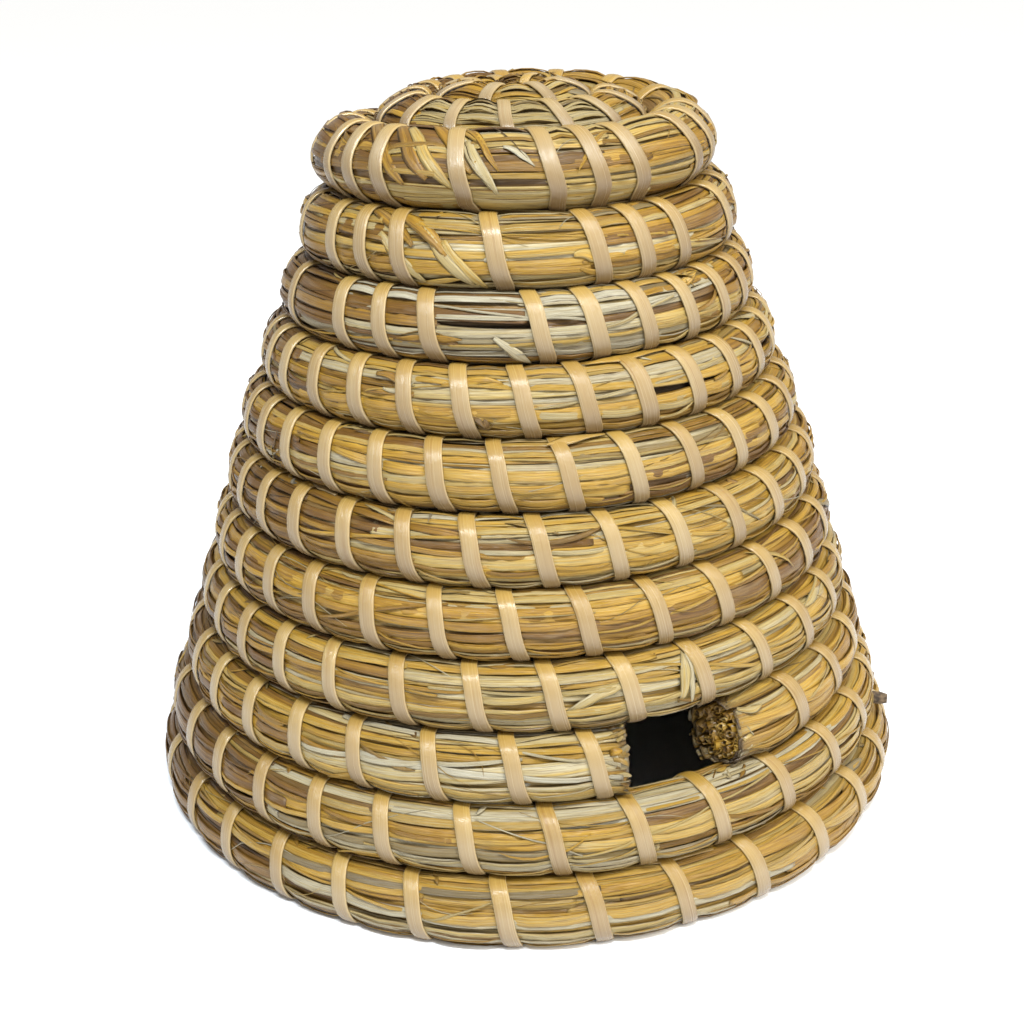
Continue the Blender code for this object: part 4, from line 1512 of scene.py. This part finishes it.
def heap_rows(rng, row, azimuth, angle, count, reach, dark):
    """A heap of short bits that point every way."""
    rows = []
    for i in range(count):
        a = azimuth + rng.normal() * reach
        b = angle + rng.normal() * HEAP_TALL
        rows.append((row, a, b, a + rng.normal() * reach, b + rng.normal() * HEAP_ANY_WAY,
                     rng.uniform(*HEAP_WIDTHS), HEAP_LOW, rng.uniform(*HEAP_HIGH),
                     rng.normal() * HEAP_BOW, rng.normal() * HEAP_TWIST,
                     rng.random(), dark * rng.random()))
    return rows


def frayed_rows(rng):
    """Short curls that stand out round the cut end on the entrance's left."""
    rows = []
    for angle in np.linspace(*FRAYED_ANGLES, FRAYED):
        rows.append((DOOR_ROW, DOOR_LEFT - FRAYED_BACK + rng.normal() * FRAYED_SPREAD, angle,
                     DOOR_LEFT - FRAYED_AHEAD + rng.normal() * FRAYED_SPREAD,
                     angle + rng.normal() * FRAYED_ANY_WAY,
                     rng.uniform(*FRAYED_WIDTHS), FRAYED_LOW, rng.uniform(*FRAYED_HIGH),
                     rng.normal() * FRAYED_BOW, rng.normal() * FRAYED_TWIST,
                     rng.uniform(*FRAYED_TONES), rng.uniform(*FRAYED_GLOOM)))
    return rows


detail_rng = np.random.default_rng(DETAIL_SEED)
broken = [row for heap in HEAPS for row in heap_rows(detail_rng, *heap)]
details.append(lay_details("broken_bits", broken, STRAW, "straw"))
details.append(lay_details("frayed_end", frayed_rows(detail_rng), STRAW, "straw", BLUNT_FRAYED))
print("broken bits:", len(broken), "frayed curls:", FRAYED)

# %% The knot in the crown's eye
KNOT_STRAWS = 26
KNOT_SPREAD = 0.0040
KNOT_LENGTHS = (0.011, 0.016)
KNOT_HALVES = (0.0009, 0.0019)
KNOT_THICK = 0.00045
KNOT_DEPTH = 0.0030
KNOT_SAG = 0.0030
KNOT_UNDER = 0.0035
KNOT_TONES = (0.3, 0.9)
KNOT_DEPTH_SHADE = 0.5


def lay_eye_knot(rng):
    """The knot that the rope was begun with: short straws, crossed over the eye of the crown."""
    each = (KNOT_STRAWS, 1, 1)
    s = np.linspace(0, 1, LOOSE_RINGS)[None, :, None]
    turn = rng.uniform(0, TURN, each)
    ahead = np.concatenate([np.cos(turn), np.sin(turn), 0 * turn], -1)
    side = np.concatenate([-np.sin(turn), np.cos(turn), 0 * turn], -1)
    length = rng.uniform(*KNOT_LENGTHS, each)
    half = rng.uniform(*KNOT_HALVES, each)
    top = float(rope_point(ROPE_START + LOOSE_START, 0.0)[2]) - KNOT_UNDER
    middle = AXIS + np.array((0, 0, top)) + side * rng.normal(0, KNOT_SPREAD, each)
    middle = middle + ahead * (s - 0.5) * length
    lift = np.linspace(-KNOT_DEPTH, 0.0, KNOT_STRAWS)[:, None, None] - KNOT_SAG * (2 * s - 1) ** 2
    up = np.array((0, 0, 1.0))
    rings = np.stack([middle + side * x * half + up * (lift + y * KNOT_THICK) for x, y in FLAT_SECTION], 2)
    level = 0 * s[..., 0]
    seed = rng.random((KNOT_STRAWS, 1))
    tone = rng.uniform(*KNOT_TONES, (KNOT_STRAWS, 1))
    # Painted shade: the deeper straws in the eye are drawn darker
    dark = KNOT_DEPTH_SHADE * (1 - np.linspace(0, 1, KNOT_STRAWS))[:, None]
    marks = np.stack([tone + level, seed + level, dark + level], -1)
    obj = mesh_from_rings("eye_knot", rings, marks, (s * length)[..., 0], FLAT_ACROSS, STRAW)
    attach(obj, BODY)
    return obj


details.append(lay_eye_knot(detail_rng))
print("details:", [o.name for o in details])

# Stems may stand a little proud of the solids.
